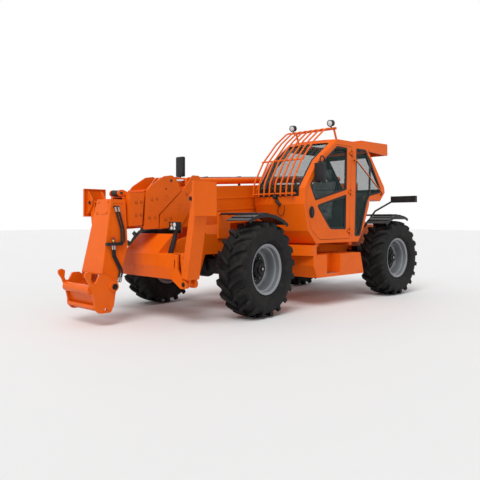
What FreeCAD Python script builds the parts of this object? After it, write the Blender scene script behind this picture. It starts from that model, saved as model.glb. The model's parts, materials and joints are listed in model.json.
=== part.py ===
import FreeCAD, Part
import math
import os

# Telehandler: four-wheel chassis, cab on the left, engine pod on the right, four-section
# boom with a drop nose and quick-hitch carriage, and swing-down front stabilisers.
# Millimetres. +X forward, +Y left, +Z up. Inside this file X = 0 is the front axle and
# Z = 0 the ground; row_shift moves everything so that X = 0 is midway along the machine.

V = FreeCAD.Vector
ORIGIN = V(0, 0, 0)
ALONG_X = V(1, 0, 0)
ALONG_Y = V(0, 1, 0)
ALONG_Z = V(0, 0, 1)

# Fits between pieces
seat_gap = 0.3
pin_fit = 0.05
side_play = 3.0
pin_head = 8.0

# Wheels and tyres
wheelbase = 3300.0
track = 2000.0
tyre_radius = 625.0
tyre_width = 420.0
lug_count = 20
lug_height = 42.0
bead_radius = 306.0
rim_width = 330.0
rim_flange_radius = 331.0
rim_flange_thick = 14.0
rim_wall = 9.0
disc_inset = 45.0
disc_thick = 14.0
disc_bore = 120.0
hub_radius = 118.0
hub_reach = 95.0
hub_flange_radius = 185.0
hub_flange_thick = 22.0
spindle_radius = 62.0
hub_plug_radius = 30.0
hub_plug_height = 8.0

# Axles and steering
kingpin_inset = 200.0
kingpin_radius = 34.0
knuckle_radius = 92.0
knuckle_height = 190.0
yoke_arm_thick = 42.0
yoke_radius = 74.0
axle_beam_height = 190.0
axle_beam_width = 170.0
diff_radius = 165.0
diff_width = 300.0
axle_pad_width = 120.0
front_steer_rest = 7.5
rear_steer_rest = 0.0

# The body is drawn with its axles at axle_height, and cab and side panels for a cab_station
# midway between the axles. Other tyres and wheelbases lift and shift them.
axle_height = 625.0
body_lift = tyre_radius - axle_height
cab_station = 1650.0
cab_shift = cab_station - wheelbase / 2.0

# Chassis
frame_plate = 20.0
frame_half = 380.0
frame_front_x = 866.0
frame_rear_x = -wheelbase - 750.0
frame_bottom = 450.0
frame_top = 910.0
shelf_z = 860.0
shelf_thick = 24.0
frame_front_top = 1070.0
frame_over_axle = 800.0
frame_front_low = 560.0
frame_tail_low = 620.0
frame_tail_top = 1180.0
lift_beam_x = -wheelbase + 215.0
axle_gap_half = 330.0
tower_top = 1790.0
tower_plate = 32.0
boom_side_gap = 16.0

# Boom, from its rear pivot to the joint with the nose column
boom_y = -110.0
pivot_x = -wheelbase - 300.0
pivot_z = 1672.0
nose_joint_x = 1377.0
nose_joint_z = 1389.8
boom_drop_deg = math.degrees(math.atan2(pivot_z - nose_joint_z, nose_joint_x - pivot_x))
boom_length = math.hypot(pivot_z - nose_joint_z, nose_joint_x - pivot_x)
pivot_pin_radius = 45.0
outer_half_w = 200.0
outer_half_h = 275.0
outer_wall = 16.0
second_half_w = 171.0
second_half_h = 232.0
second_wall = 14.0
third_half_w = 144.0
third_half_h = 200.0
third_wall = 12.0
fourth_half_w = 120.0
fourth_half_h = 170.0
fourth_wall = 12.0
outer_start = -150.0
head_s = boom_length - 485.0
outer_end = head_s - 20.0
second_start = 330.0
third_start = 420.0
fourth_start = 520.0
collar_thick = 16.0
plug_radius = 36.0
plug_groove = 5.0
plug_depth = 4.0
pulley_s = head_s + 492.0
pulley_t = 214.0
pulley_pin_radius = 18.0
pulley_radius = 38.0
pulley_half = 80.0
pulley_grooves = 4

# Telescoping cylinder on top of the boom
extend_axis_t = 355.0
extend_barrel_radius = 50.0
extend_bore_radius = 40.0
extend_rod_radius = 30.0
extend_barrel_start = 190.0
extend_barrel_end = head_s - 610.0
extend_trunnion_s = head_s - 665.0
extend_trunnion_radius = 22.0
extend_rod_start = 240.0
extend_pin_s = head_s - 224.0
extend_pin_radius = 22.0

# Lift cylinder under the boom
lift_foot_x = -wheelbase + 290.0
lift_foot_z = 790.0
lift_head_s = 2200.0
lift_head_t = -440.0
lift_barrel_radius = 72.0
lift_bore_radius = 58.0
lift_rod_radius = 42.0
lift_eye_radius = 70.0
lift_eye_width = 150.0
lift_lug = 24.0
lift_pin_radius = 30.0
lift_barrel_length = 1480.0

gland_length = 40.0
piston_length = 40.0

# Nose column and carriage
tilt_pin_x = 1650.0
tilt_pin_z = 466.0
tilt_pin_radius = 32.0
nose_half_top = 160.0
nose_half_bottom = 240.0
nose_wall = 14.0
nose_recess = 3.0
carriage_half = 330.0
carriage_plate = 30.0
lock_pin_x = 1755.0
lock_pin_z = 205.0
lock_bore_radius = 20.0
tilt_lever = 150.0
tilt_lever_deg = -150.0
tilt_foot_x = 1505.0
tilt_foot_z = 1190.0
tilt_barrel_radius = 42.0
tilt_bore_radius = 33.0
tilt_rod_radius = 24.0
tilt_eye_radius = 40.0
tilt_eye_width = 90.0
tilt_foot_radius = 18.0
tilt_lever_plate = 20.0
tilt_barrel_length = 500.0
tilt_drawn = 228.0

# Hoses
hose_radius = 12.0
tap_block_z = 970.0
boom_hose_y = (-128.0, -96.0)
boom_hose_t = 408.0
boom_clamps = 5

# Front bridge and stabilisers
bridge_x0 = frame_front_x + seat_gap
bridge_x1 = 1150.0
bridge_z0 = 545.0
bridge_z1 = 855.0
bridge_half = 740.0
bridge_wall = 16.0
cheek_plate = 28.0
wedge_top = 1085.0
wedge_y0 = -320.0
wedge_y1 = 400.0
arm_pivot_y = 914.0
arm_pivot_z = 503.0
arm_pin_radius = 28.0
arm_length = 1027.0
arm_lean_deg = 78.7
arm_x0 = 974.0
arm_x1 = 1160.0
arm_depth = 112.0
arm_shift = 22.0
arm_wall = 10.0
arm_lever = 330.0
arm_lever_deg = 99.0
arm_lug_x0 = 990.0
arm_lug_x1 = 1110.0
arm_lug = 24.0
foot_pin_radius = 24.0
foot_width = 350.0
foot_height = 400.0
foot_plate = 18.0
foot_lip = 14.0
foot_reach = 105.0
leg_cyl_foot_y = 95.0
leg_cyl_foot_z = 680.0
leg_barrel_radius = 42.0
leg_bore_radius = 34.0
leg_pin_radius = 20.0
leg_eye_radius = 38.0
leg_eye_width = 56.0
leg_rod_radius = 25.0
leg_barrel_length = 575.0

# Cab
cab_y0 = 135.0
cab_y1 = 1090.0
cab_wall = 45.0
cab_bulge = 105.0
cab_floor_z = 925.0
cab_roof_z = 2480.0
glass_thick = 6.0
stay_radius = 11.0
guard_bars = 8
guard_near = 962.0
guard_far = 215.0
door_gap = 6.0
door_hinge_y = 1108.0
door_hinge_x = -1985.0
door_foot_z = 975.0
door_hinge_lean_deg = 3.4
hinge_pin_radius = 7.0
hinge_eye_radius = 13.0
hinge_heights = (1090.0, 1690.0, 2290.0)

# Engine side
pod_y0 = -1130.0
pod_y1 = -450.0
pod_x0 = -wheelbase + tyre_radius + 255.0
pod_x1 = -tyre_radius - 205.0
pod_bottom = 470.0
pod_top = 990.0
pod_wall = 30.0
hood_top = 1420.0
hood_wall = 25.0
hood_hinge_y = -440.0
hood_hinge_z = 1410.0
hood_hinge_x = (pod_x0 + 270.0, pod_x1 - 520.0)
hood_pin_radius = 8.0

# Rear weight
hitch_radius = 20.0
hitch_pocket_low = 740.0
hitch_pocket_high = 850.0
hitch_top = 950.0
weight_low = 640.0

# Left side boxes
box_y0 = 640.0
box_y1 = 1150.0
box_front = -tyre_radius - 405.0
box_rear = cab_shift - 2294.0
box_bottom = 435.0
box_top = 760.0

# Fenders
fender_radius = tyre_radius + 83.0
fender_thick = 10.0
fender_lip = 34.0
fender_ribs = 5
fender_y0 = 795.0
fender_y1 = 1205.0

# Whole machine, for the row frame
front_reach = 2030.0
rear_reach = -wheelbase - 880.0
row_shift = -(front_reach + rear_reach) / 2.0


def moved(shape, x=0.0, y=0.0, z=0.0):
    copy = shape.copy()
    copy.translate(V(x, y, z))
    return copy


def turned(shape, axis, degrees, centre=ORIGIN):
    copy = shape.copy()
    copy.rotate(centre, axis, degrees)
    return copy


def mirrored(shape, side):
    return shape if side > 0 else shape.mirror(ORIGIN, ALONG_Y)


def box(x0, x1, y0, y1, z0, z1):
    return Part.makeBox(x1 - x0, y1 - y0, z1 - z0, V(x0, y0, z0))


def rod(start, end, radius):
    way = end - start
    return Part.makeCylinder(radius, way.Length, start, way)


def rod_y(x, z, y0, y1, radius):
    return rod(V(x, y0, z), V(x, y1, z), radius)


def rod_x(y, z, x0, x1, radius):
    return rod(V(x0, y, z), V(x1, y, z), radius)


def rod_z(x, y, z0, z1, radius):
    return rod(V(x, y, z0), V(x, y, z1), radius)


def joined(shapes):
    first = shapes[0]
    return first.fuse(shapes[1:]).removeSplitter() if len(shapes) > 1 else first


def outline(points, lift):
    """Closed wire through (a, b) or (a, b, corner radius) points, lifted into space."""
    corners = []
    count = len(points)
    for i, point in enumerate(points):
        here = V(point[0], point[1], 0)
        radius = point[2] if len(point) > 2 else 0.0
        if radius == 0.0:
            corners.append((here, here, here))
            continue
        before = V(points[i - 1][0], points[i - 1][1], 0) - here
        after = V(points[(i + 1) % count][0], points[(i + 1) % count][1], 0) - here
        before.normalize()
        after.normalize()
        half = before.getAngle(after) / 2.0
        reach = radius / math.tan(half)
        inward = before + after
        inward.normalize()
        centre = here + inward * (radius / math.sin(half))
        corners.append((here + before * reach, centre - inward * radius, here + after * reach))
    edges = []
    for i, (start, middle, end) in enumerate(corners):
        if (end - start).Length > 1e-6:
            edges.append(Part.Arc(lift(start), lift(middle), lift(end)).toShape())
        following = corners[(i + 1) % count][0]
        if (following - end).Length > 1e-6:
            edges.append(Part.LineSegment(lift(end), lift(following)).toShape())
    return Part.Wire(edges)


def plate_xz(points, y0, y1):
    wire = outline(points, lambda p: V(p.x, y0, p.y))
    return Part.Face(wire).extrude(V(0, y1 - y0, 0))


def plate_yz(points, x0, x1):
    wire = outline(points, lambda p: V(x0, p.x, p.y))
    return Part.Face(wire).extrude(V(x1 - x0, 0, 0))


def plate_xy(points, z0, z1):
    wire = outline(points, lambda p: V(p.x, p.y, z0))
    return Part.Face(wire).extrude(V(0, 0, z1 - z0))


def turned_ring(points):
    """Ring about the Y axis from (along the axis, radius) points."""
    wire = outline(points, lambda p: V(0, p.x, p.y))
    return Part.Face(wire).revolve(ORIGIN, ALONG_Y, 360)


def bent_tube(points, radius, bend):
    """Round bar through the points, with an arc of the bend radius at each inner one."""
    places = [V(*p) for p in points]
    edges = []
    last = places[0]
    for before, here, after in zip(places, places[1:], places[2:]):
        back = before - here
        ahead = after - here
        back.normalize()
        ahead.normalize()
        half = back.getAngle(ahead) / 2.0
        reach = bend / math.tan(half)
        inward = back + ahead
        inward.normalize()
        middle = here + inward * (bend / math.sin(half) - bend)
        edges.append(Part.LineSegment(last, here + back * reach).toShape())
        edges.append(Part.Arc(here + back * reach, middle, here + ahead * reach).toShape())
        last = here + ahead * reach
    edges.append(Part.LineSegment(last, places[-1]).toShape())
    path = Part.Wire(edges)
    start = places[1] - places[0]
    ring = Part.Wire(Part.makeCircle(radius, places[0], start))
    return path.makePipeShell([ring], True, True)


def boom_point(s, t, y=0.0):
    """Point at distance s from the boom pivot along the boom and t above its axis."""
    slope = math.radians(boom_drop_deg)
    x = pivot_x + s * math.cos(slope) + t * math.sin(slope)
    z = pivot_z - s * math.sin(slope) + t * math.cos(slope)
    return V(x, boom_y + y, z)


def on_boom(shape):
    """Shape drawn with X along the boom from its pivot, put in its place."""
    return moved(turned(shape, ALONG_Y, boom_drop_deg), pivot_x, boom_y, pivot_z)


def box_tube(s0, s1, half_w, half_h, wall):
    outer = box(s0, s1, -half_w, half_w, -half_h, half_h)
    inner = box(s0 - 1, s1 + 1, wall - half_w, half_w - wall, wall - half_h, half_h - wall)
    return outer.cut(inner)


# Wheels

def at_wheel(shape, end_x, side, steer):
    """Shape drawn about the Y axis at the origin, outboard towards +Y, put on its wheel."""
    placed = moved(mirrored(shape, side), end_x, side * track / 2.0, axle_height)
    kingpin = V(end_x, side * (track / 2.0 - kingpin_inset), 0)
    return turned(placed, ALONG_Z, steer, kingpin)


def around(y, radius, degrees):
    angle = math.radians(degrees)
    return V(radius * math.sin(angle), y, radius * math.cos(angle))


def flat_faces(corners):
    """Flat faces that fill three or four corners."""
    if len(corners) == 3:
        return [Part.Face(Part.makePolygon(corners + corners[:1]))]
    a, b, c, d = corners
    return flat_faces([a, b, c]) + flat_faces([a, c, d])


def tyre():
    """Tyre with V lugs, half a pitch apart on its two halves, closed by flat faces."""
    pitch = 360.0 / lug_count
    half = tyre_width / 2.0
    per_mm = 180.0 / (math.pi * tyre_radius)
    groove = tyre_radius - lug_height
    bead = rim_width / 2.0 - rim_flange_thick - seat_gap
    inner = (bead_radius + seat_gap) / math.cos(math.radians(pitch / 2.0))
    # columns: distance from the middle, arc behind the lug's tip, half width of the lug's foot
    # and of its top, radius of the groove and of the lug's top
    tread = (
        (0.0, 0.0, pitch / per_mm / 4.0, 24.0, groove, tyre_radius),
        (half * 0.5, 88.0, 38.0, 27.0, groove - 1.0, tyre_radius - 2.0),
        (half - 5.0, 146.0, 42.0, 33.0, groove - 36.0, tyre_radius - 22.0))
    # columns: distance from the middle, radius
    wall = ((half, tyre_radius - 108.0), (half - 5.0, tyre_radius - 200.0), (bead, rim_flange_radius + 6.0))
    start = -tread[-1][1] * per_mm
    foot = tread[-1][2] * per_mm
    faces = []
    for side, lead in ((1, 0.0), (-1, pitch / 2.0)):
        for k in range(lug_count):
            here = k * pitch + lead
            rows = []
            for y, arc, low_half, top_half, low, high in tread:
                stops = ((-low_half, low), (-top_half, high), (top_half, high), (low_half, low))
                row = [around(side * y, r, here + (x - arc) * per_mm) for x, r in stops]
                row.append(around(side * y, low, here + pitch - (arc + low_half) * per_mm))
                rows.append(row)
            for near, far in zip(rows, rows[1:]):
                for i in range(4):
                    faces += flat_faces([near[i], near[i + 1], far[i + 1], far[i]])
            faces += flat_faces(rows[0][:4])
            stops = (here + start - foot, here + start + foot, here + start + pitch - foot)
            rings = [[around(side * y, r, degrees) for degrees in stops] for y, r in wall]
            lug, edge, last = rows[-1], rings[0], rings[-1]
            faces += flat_faces([lug[0], lug[1], edge[0]])
            faces += flat_faces([lug[1], lug[2], edge[1], edge[0]])
            faces += flat_faces([lug[2], lug[3], edge[1]])
            faces += flat_faces([lug[3], lug[4], edge[2], edge[1]])
            for near, far in zip(rings, rings[1:]):
                for i in range(2):
                    faces += flat_faces([near[i], near[i + 1], far[i + 1], far[i]])
            seat = [around(side * bead, inner, stops[0]), around(side * bead, inner, stops[2])]
            faces += flat_faces([last[0], last[1], seat[0]])
            faces += flat_faces([last[1], last[2], seat[1], seat[0]])
            if side > 0:
                over = [around(-bead, inner, stops[0] + pitch / 2.0),
                        around(-bead, inner, stops[2] + pitch / 2.0)]
                faces += flat_faces([seat[0], seat[1], over[0]])
                faces += flat_faces([seat[1], over[1], over[0]])
    skin = Part.makeShell(faces)
    skin.sewShape()
    return Part.Solid(skin).removeSplitter()


def rim():
    half = rim_width / 2.0
    lip = half - rim_flange_thick
    barrel = turned_ring([
        (-half, rim_flange_radius), (-lip, rim_flange_radius), (-lip, bead_radius),
        (-lip + 55.0, bead_radius - 3.0), (-lip + 80.0, bead_radius - 30.0),
        (lip - 95.0, bead_radius - 30.0), (lip - 65.0, bead_radius - 3.0),
        (lip, bead_radius), (lip, rim_flange_radius), (half, rim_flange_radius),
        (half, rim_flange_radius - rim_wall), (lip + 2.0, bead_radius - rim_wall),
        (lip - 52.0, bead_radius - 4.0 - rim_wall), (lip - 60.0, bead_radius - 24.0 - rim_wall),
        (lip - 95.0, bead_radius - 30.0 - rim_wall), (-lip + 75.0, bead_radius - 30.0 - rim_wall),
        (-lip + 50.0, bead_radius - 4.0 - rim_wall), (-lip - 2.0, bead_radius - rim_wall),
        (-half, rim_flange_radius - rim_wall)])
    disc = turned_ring([
        (-disc_inset - disc_thick, disc_bore), (-disc_inset, disc_bore),
        (-disc_inset, 190.0), (-disc_inset + 26.0, 235.0), (-disc_inset + 26.0, bead_radius - 34.0),
        (-disc_inset + 12.0, bead_radius - 34.0), (-disc_inset + 12.0, 240.0),
        (-disc_inset - disc_thick, 195.0)])
    return joined([barrel, disc])


def hub():
    seat = -disc_inset - disc_thick - seat_gap
    body = turned_ring([
        (seat - hub_flange_thick, spindle_radius + pin_fit), (seat - hub_flange_thick, hub_flange_radius),
        (seat, hub_flange_radius), (seat, hub_radius), (hub_reach - 150.0, hub_radius),
        (hub_reach - 60.0, hub_radius - 6.0), (hub_reach - 40.0, hub_radius - 40.0),
        (hub_reach - 12.0, hub_radius - 44.0, 8.0), (hub_reach - 12.0, hub_plug_radius),
        (hub_reach - 12.0 + hub_plug_height, hub_plug_radius), (hub_reach - 12.0 + hub_plug_height, 0.0),
        (hub_reach - 120.0, 0.0), (hub_reach - 120.0, spindle_radius + pin_fit)])
    return body


def knuckle():
    """Steering knuckle about its kingpin, drawn about the wheel axis."""
    pin_y = -kingpin_inset
    body = rod_z(0, pin_y, -knuckle_height / 2.0, knuckle_height / 2.0, knuckle_radius)
    seat = -disc_inset - disc_thick - hub_flange_thick - 4.0
    neck = rod_y(0, 0, pin_y, seat, 84.0)
    spindle = rod_y(0, 0, pin_y, hub_reach - 122.0, spindle_radius)
    reach = knuckle_height / 2.0 + side_play + yoke_arm_thick
    pins = rod_z(0, pin_y, -reach, reach, kingpin_radius)
    arm = plate_xy([(-60, pin_y - 30), (-60, pin_y + 30), (-250, pin_y + 22, 20), (-250, pin_y - 22, 20)],
                   -30, 10)
    return joined([body, neck, spindle, pins, arm])


# Axles

def axle(nose_way):
    """Rigid drive axle about the origin: housing, tapered arms and kingpin yokes."""
    housing = turned_ring([
        (-diff_width / 2.0, 0), (-diff_width / 2.0, 120), (-diff_width / 4.0, diff_radius, 60),
        (diff_width / 4.0, diff_radius, 60), (diff_width / 2.0, 120), (diff_width / 2.0, 0)])
    nose = rod_x(0, 0, 0, nose_way * 330.0, 88.0)
    flange = rod_x(0, 0, nose_way * 330.0, nose_way * 352.0, 62.0)
    pieces = [housing, nose, flange]
    yoke_y = track / 2.0 - kingpin_inset
    low = knuckle_height / 2.0 + side_play
    arm_end = yoke_y - knuckle_radius - 26.0
    for side in (1, -1):
        beam = box(-axle_beam_width / 2.0, axle_beam_width / 2.0, 80.0, arm_end,
                   -axle_beam_height / 2.0, axle_beam_height / 2.0)
        back = plate_yz([(arm_end - 30.0, -low - yoke_arm_thick), (arm_end, -low - yoke_arm_thick),
                         (arm_end, low + yoke_arm_thick), (arm_end - 30.0, low + yoke_arm_thick),
                         (arm_end - 90.0, axle_beam_height / 2.0),
                         (arm_end - 90.0, -axle_beam_height / 2.0)], -yoke_radius, yoke_radius)
        parts = [beam, back]
        for z0 in (low, -low - yoke_arm_thick):
            ear = joined([box(-yoke_radius, yoke_radius, arm_end - 30.0, yoke_y, z0, z0 + yoke_arm_thick),
                          rod_z(0, yoke_y, z0, z0 + yoke_arm_thick, yoke_radius)])
            parts.append(ear.cut(rod_z(0, yoke_y, z0 - 1, z0 + yoke_arm_thick + 1,
                                       kingpin_radius + pin_fit)))
        pad_y = frame_half - frame_plate / 2.0
        pad_top = frame_over_axle - axle_height - seat_gap
        parts.append(box(-100, 100, pad_y - axle_pad_width / 2.0, pad_y + axle_pad_width / 2.0, 0, pad_top))
        pieces.append(mirrored(joined(parts), side))
    return joined(pieces)


# Chassis

def frame_profile():
    rear_axle_x = -wheelbase
    return [
        (frame_front_x, frame_front_low), (frame_front_x, bridge_z1), (790.0, 1010.0, 60),
        (560.0, frame_front_top, 80), (-330.0, frame_front_top, 120), (-480.0, frame_top, 60),
        (rear_axle_x + 260.0, frame_top), (rear_axle_x - 20.0, frame_tail_top, 80),
        (frame_rear_x, frame_tail_top, 40), (frame_rear_x, frame_tail_low, 40),
        (rear_axle_x - axle_gap_half - 60.0, frame_tail_low),
            (rear_axle_x - axle_gap_half, frame_over_axle),
        (rear_axle_x + axle_gap_half, frame_over_axle), (rear_axle_x + axle_gap_half + 90.0, frame_bottom),
        (-axle_gap_half - 90.0, frame_bottom), (-axle_gap_half, frame_over_axle),
        (axle_gap_half, frame_over_axle), (axle_gap_half + 90.0, frame_front_low)]


def tower_profile():
    return [
        (pivot_x + 520.0, shelf_z), (pivot_x + 330.0, 1250.0, 120),
        (pivot_x + 130.0, tower_top - 120.0, 90), (pivot_x + 70.0, tower_top, 60),
        (pivot_x - 90.0, tower_top, 60), (pivot_x - 230.0, 1400.0, 120),
        (pivot_x - 330.0, 1180.0), (pivot_x - 330.0, shelf_z)]


def chassis_frame():
    """Two side plates, pan and cross members, boom towers and the lift cylinder's foot lugs."""
    inner = frame_half - frame_plate
    pieces = []
    for side in (1, -1):
        pieces.append(mirrored(plate_xz(frame_profile(), inner, frame_half), side))
    gap_front = -axle_gap_half - 90.0
    gap_rear = -wheelbase + axle_gap_half + 90.0
    deck = frame_over_axle + frame_plate
    pieces.append(box(gap_rear, gap_front, -inner, inner, frame_bottom, frame_bottom + frame_plate))
    pieces.append(box(frame_front_x - frame_plate, frame_front_x, -inner, inner, frame_front_low,
                      bridge_z1))
    pieces.append(box(-axle_gap_half, axle_gap_half, -inner, inner, frame_over_axle, deck))
    pieces.append(box(-wheelbase - axle_gap_half, lift_beam_x, -inner, inner, frame_over_axle, deck))
    pieces.append(box(lift_beam_x - 30.0, lift_beam_x, -inner, inner, frame_over_axle, frame_top - 10.0))
    pieces.append(box(frame_rear_x, frame_rear_x + frame_plate, -inner, inner, frame_tail_low,
                      frame_tail_top))
    for x in (cab_shift - 1300.0, cab_shift - 2150.0):
        pieces.append(box(x - 40, x + 40, frame_half - 1, 1000.0, frame_top - 40.0, cab_floor_z - seat_gap))
        pieces.append(box(x - 40, x + 40, inner, frame_half, frame_top - 1, cab_floor_z - seat_gap))
    near = outer_half_w + boom_side_gap
    for side in (1, -1):
        face = boom_y + side * near
        back = face + side * tower_plate
        edge = side * inner
        pieces.append(plate_xz(tower_profile(), min(face, back), max(face, back)))
        pieces.append(box(pivot_x - 330.0, pivot_x + 330.0, min(back, edge), max(back, edge),
                          shelf_z, shelf_z + shelf_thick))
        rim_face = back + side * 14.0
        pieces.append(rod_y(pivot_x, pivot_z, min(face, rim_face), max(face, rim_face), 85.0))
    lug_face = lift_eye_width / 2.0 + side_play
    for side in (1, -1):
        y0 = boom_y + side * lug_face
        y1 = y0 + side * lift_lug
        lug = plate_xz([(lift_beam_x - 5.0, deck - 10.0), (lift_beam_x - 5.0, frame_top - 20.0),
                        (lift_beam_x + 30.0, frame_top - 20.0, 20),
                        (lift_foot_x + 62.0, lift_foot_z + 40.0, 50),
                        (lift_foot_x + 62.0, lift_foot_z - 62.0, 55),
                        (lift_foot_x - 50.0, lift_foot_z - 50.0, 30)],
                       min(y0, y1), max(y0, y1))
        pieces.append(lug)
    body = joined(pieces)
    slots = [plate_xz([(430, 960, 18), (490, 960, 18), (520, 1022, 18), (430, 1022, 18)],
                      side * (frame_half - 40) - 30,
                      side * (frame_half - 40) + 30) for side in (1, -1)]
    wide = near + tower_plate + 40.0
    pivot_bore = rod_y(pivot_x, pivot_z, boom_y - wide, boom_y + wide, pivot_pin_radius + pin_fit)
    foot_half = lug_face + lift_lug + 1.0
    foot_bore = rod_y(lift_foot_x, lift_foot_z, boom_y - foot_half, boom_y + foot_half,
                      lift_pin_radius + pin_fit)
    return body.cut([pivot_bore, foot_bore] + slots)


def front_bridge():
    """Cross beam ahead of the front axle, with cheek plates that carry the stabiliser arms."""
    beam = plate_xz([(bridge_x0, bridge_z0), (bridge_x1 - 30, bridge_z0), (bridge_x1, bridge_z0 + 150),
                     (bridge_x1 - 12, bridge_z1, 20), (bridge_x0, bridge_z1)], -bridge_half, bridge_half)
    core = box(bridge_x0 + bridge_wall, bridge_x1 - bridge_wall - 34, -bridge_half - 1, bridge_half + 1,
               bridge_z0 + bridge_wall, bridge_z1 - bridge_wall)
    pieces = [beam.cut(core)]
    gap0 = arm_lug_x0 - side_play
    gap1 = arm_lug_x1 + side_play
    for x0, x1 in ((gap0 - cheek_plate, gap0), (gap1, gap1 + cheek_plate)):
        cheek = plate_yz([(bridge_half - 60, bridge_z0 + 5), (arm_pivot_y - 60, arm_pivot_z - 52, 40),
                          (arm_pivot_y + 52, arm_pivot_z - 52, 50),
                          (arm_pivot_y + 52, arm_pivot_z + 50, 50),
                          (arm_pivot_y - 40, arm_pivot_z + 56), (arm_pivot_y - 112, bridge_z1 - 190, 60),
                          (bridge_half + 62, bridge_z1 - 10, 30),
                          (bridge_half - 60, bridge_z1 - 5)], x0, x1)
        for side in (1, -1):
            pieces.append(mirrored(cheek, side))
    wedge = plate_xz([(bridge_x0, bridge_z1 - 5), (bridge_x1 - 30, bridge_z1 - 5),
                      (bridge_x1 - 40, bridge_z1 + 20),
                      (bridge_x0 + 25, wedge_top), (bridge_x0, wedge_top)], wedge_y0, wedge_y1)
    hollow = plate_xz([(bridge_x0 + 12, bridge_z1 + 10), (bridge_x1 - 60, bridge_z1 + 10),
                       (bridge_x0 + 20, wedge_top - 20),
                       (bridge_x0 + 12, wedge_top - 20)], wedge_y0 + 12, wedge_y1 - 12)
    pieces.append(wedge.cut(hollow))
    body = joined(pieces)
    bores = []
    for side in (1, -1):
        bores.append(rod_x(side * arm_pivot_y, arm_pivot_z, gap0 - 60, gap1 + 60, arm_pin_radius + pin_fit))
        bores.append(rod_x(side * leg_cyl_foot_y, leg_cyl_foot_z, bridge_x0 - 1, bridge_x1 + 1,
                           leg_pin_radius + pin_fit))
    slot = plate_yz([(bridge_half - 14, 690, 14), (bridge_half + 14, 690, 14), (bridge_half + 14, 790, 14),
                     (bridge_half - 14, 790, 14)], gap1 - 1, gap1 + cheek_plate + 1)
    return body.cut(bores + [slot, mirrored(slot, -1)])


def arm_point(along, across):
    """(y, z) of a point on the stowed left arm, measured along the leg from its pivot and outboard of it."""
    lean = math.radians(arm_lean_deg)
    return (arm_pivot_y + along * math.cos(lean) + across * math.sin(lean),
            arm_pivot_z + along * math.sin(lean) - across * math.cos(lean))


def arm_boss():
    angle = math.radians(arm_lever_deg)
    return (arm_pivot_y + arm_lever * math.cos(angle), arm_pivot_z + arm_lever * math.sin(angle))


def stabiliser_arm(side):
    """Stowed upright: box leg, pivot lugs and the lever that the leg cylinder pushes."""
    low = arm_shift - arm_depth / 2.0
    high = arm_shift + arm_depth / 2.0
    top = arm_length - 70.0
    outer = plate_yz([arm_point(75, low), arm_point(75, high), arm_point(top, high - 12),
                      arm_point(top, low)],
                     arm_x0, arm_x1)
    inner = plate_yz([arm_point(95, low + arm_wall), arm_point(95, high - arm_wall),
                      arm_point(top - 20, high - arm_wall - 12), arm_point(top - 20, low + arm_wall)],
                     arm_x0 + arm_wall, arm_x1 - arm_wall)
    pieces = [outer.cut(inner)]
    boss = arm_boss()
    for x0, x1 in ((arm_lug_x0, arm_lug_x0 + arm_lug), (arm_lug_x1 - arm_lug, arm_lug_x1)):
        lug = plate_yz([(arm_pivot_y - 48, arm_pivot_z - 48, 44), (arm_pivot_y + 40, arm_pivot_z - 48, 40),
                        arm_point(80, high - 10), arm_point(380, low + 12),
                        (boss[0] + 30, boss[1] + 44, 20),
                        (boss[0] - 44, boss[1] + 44, 38), (boss[0] - 44, boss[1] - 60, 38)], x0, x1)
        gap = plate_yz([(arm_pivot_y - 48, arm_pivot_z + 117, 8), (arm_pivot_y - 26, arm_pivot_z + 117, 8),
                        (arm_pivot_y - 4, arm_pivot_z + 252, 12),
                        (arm_pivot_y - 56, arm_pivot_z + 252, 12)],
                       x0 - 1, x1 + 1)
        pieces.append(lug.cut(gap))
    for x0, x1 in ((arm_x0, arm_x0 + arm_lug), (arm_x1 - arm_lug, arm_x1)):
        pieces.append(plate_yz([arm_point(top - 40, low), arm_point(top - 40, high - 12),
                                arm_point(arm_length + 36, 36) + (30,),
                                arm_point(arm_length + 36, -36) + (30,)], x0, x1))
    body = joined(pieces)
    foot = arm_point(arm_length, 0)
    foot_bore = rod_x(foot[0], foot[1], arm_x0 - 1, arm_x1 + 1, foot_pin_radius + pin_fit)
    reach = side_play + cheek_plate
    pin = rod_x(arm_pivot_y, arm_pivot_z, arm_lug_x0 - reach, arm_lug_x1 + reach, arm_pin_radius)
    heads = [rod_x(boss[0], boss[1], arm_lug_x0 - pin_head, arm_lug_x0 + arm_lug, leg_pin_radius),
             rod_x(boss[0], boss[1], arm_lug_x1 - arm_lug, arm_lug_x1 + pin_head, leg_pin_radius)]
    return mirrored(joined([body.cut(foot_bore), pin] + heads), side)


def stabiliser_foot(side):
    """Flat ground plate with two tapered cheeks on the foot pin, facing outboard when stowed."""
    pin_y, pin_z = arm_point(arm_length, 0)
    middle = (arm_x0 + arm_x1) / 2.0
    face = pin_y + foot_reach
    back = face - foot_plate
    half = foot_height / 2.0
    x0, x1 = middle - foot_width / 2.0, middle + foot_width / 2.0
    tray = box(x0, x1, back - foot_lip, face, pin_z - half, pin_z + half)
    tray = tray.cut(box(x0 + 12, x1 - 12, back - foot_lip - 1, back, pin_z - half + 12, pin_z + half - 12))
    pieces = [tray]
    gap0 = arm_x0 - side_play
    gap1 = arm_x1 + side_play
    for x0, x1 in ((gap0 - 22.0, gap0), (gap1, gap1 + 22.0)):
        pieces.append(plate_yz([(back, pin_z - half + 25), (back, pin_z + half - 25),
                                (pin_y - 42, pin_z + 42, 38),
                                (pin_y - 42, pin_z - 42, 38)], x0, x1))
    pieces.append(rod_x(pin_y, pin_z, gap0 - 34.0, gap1 + 34.0, foot_pin_radius))
    return mirrored(joined(pieces), side)


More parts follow.
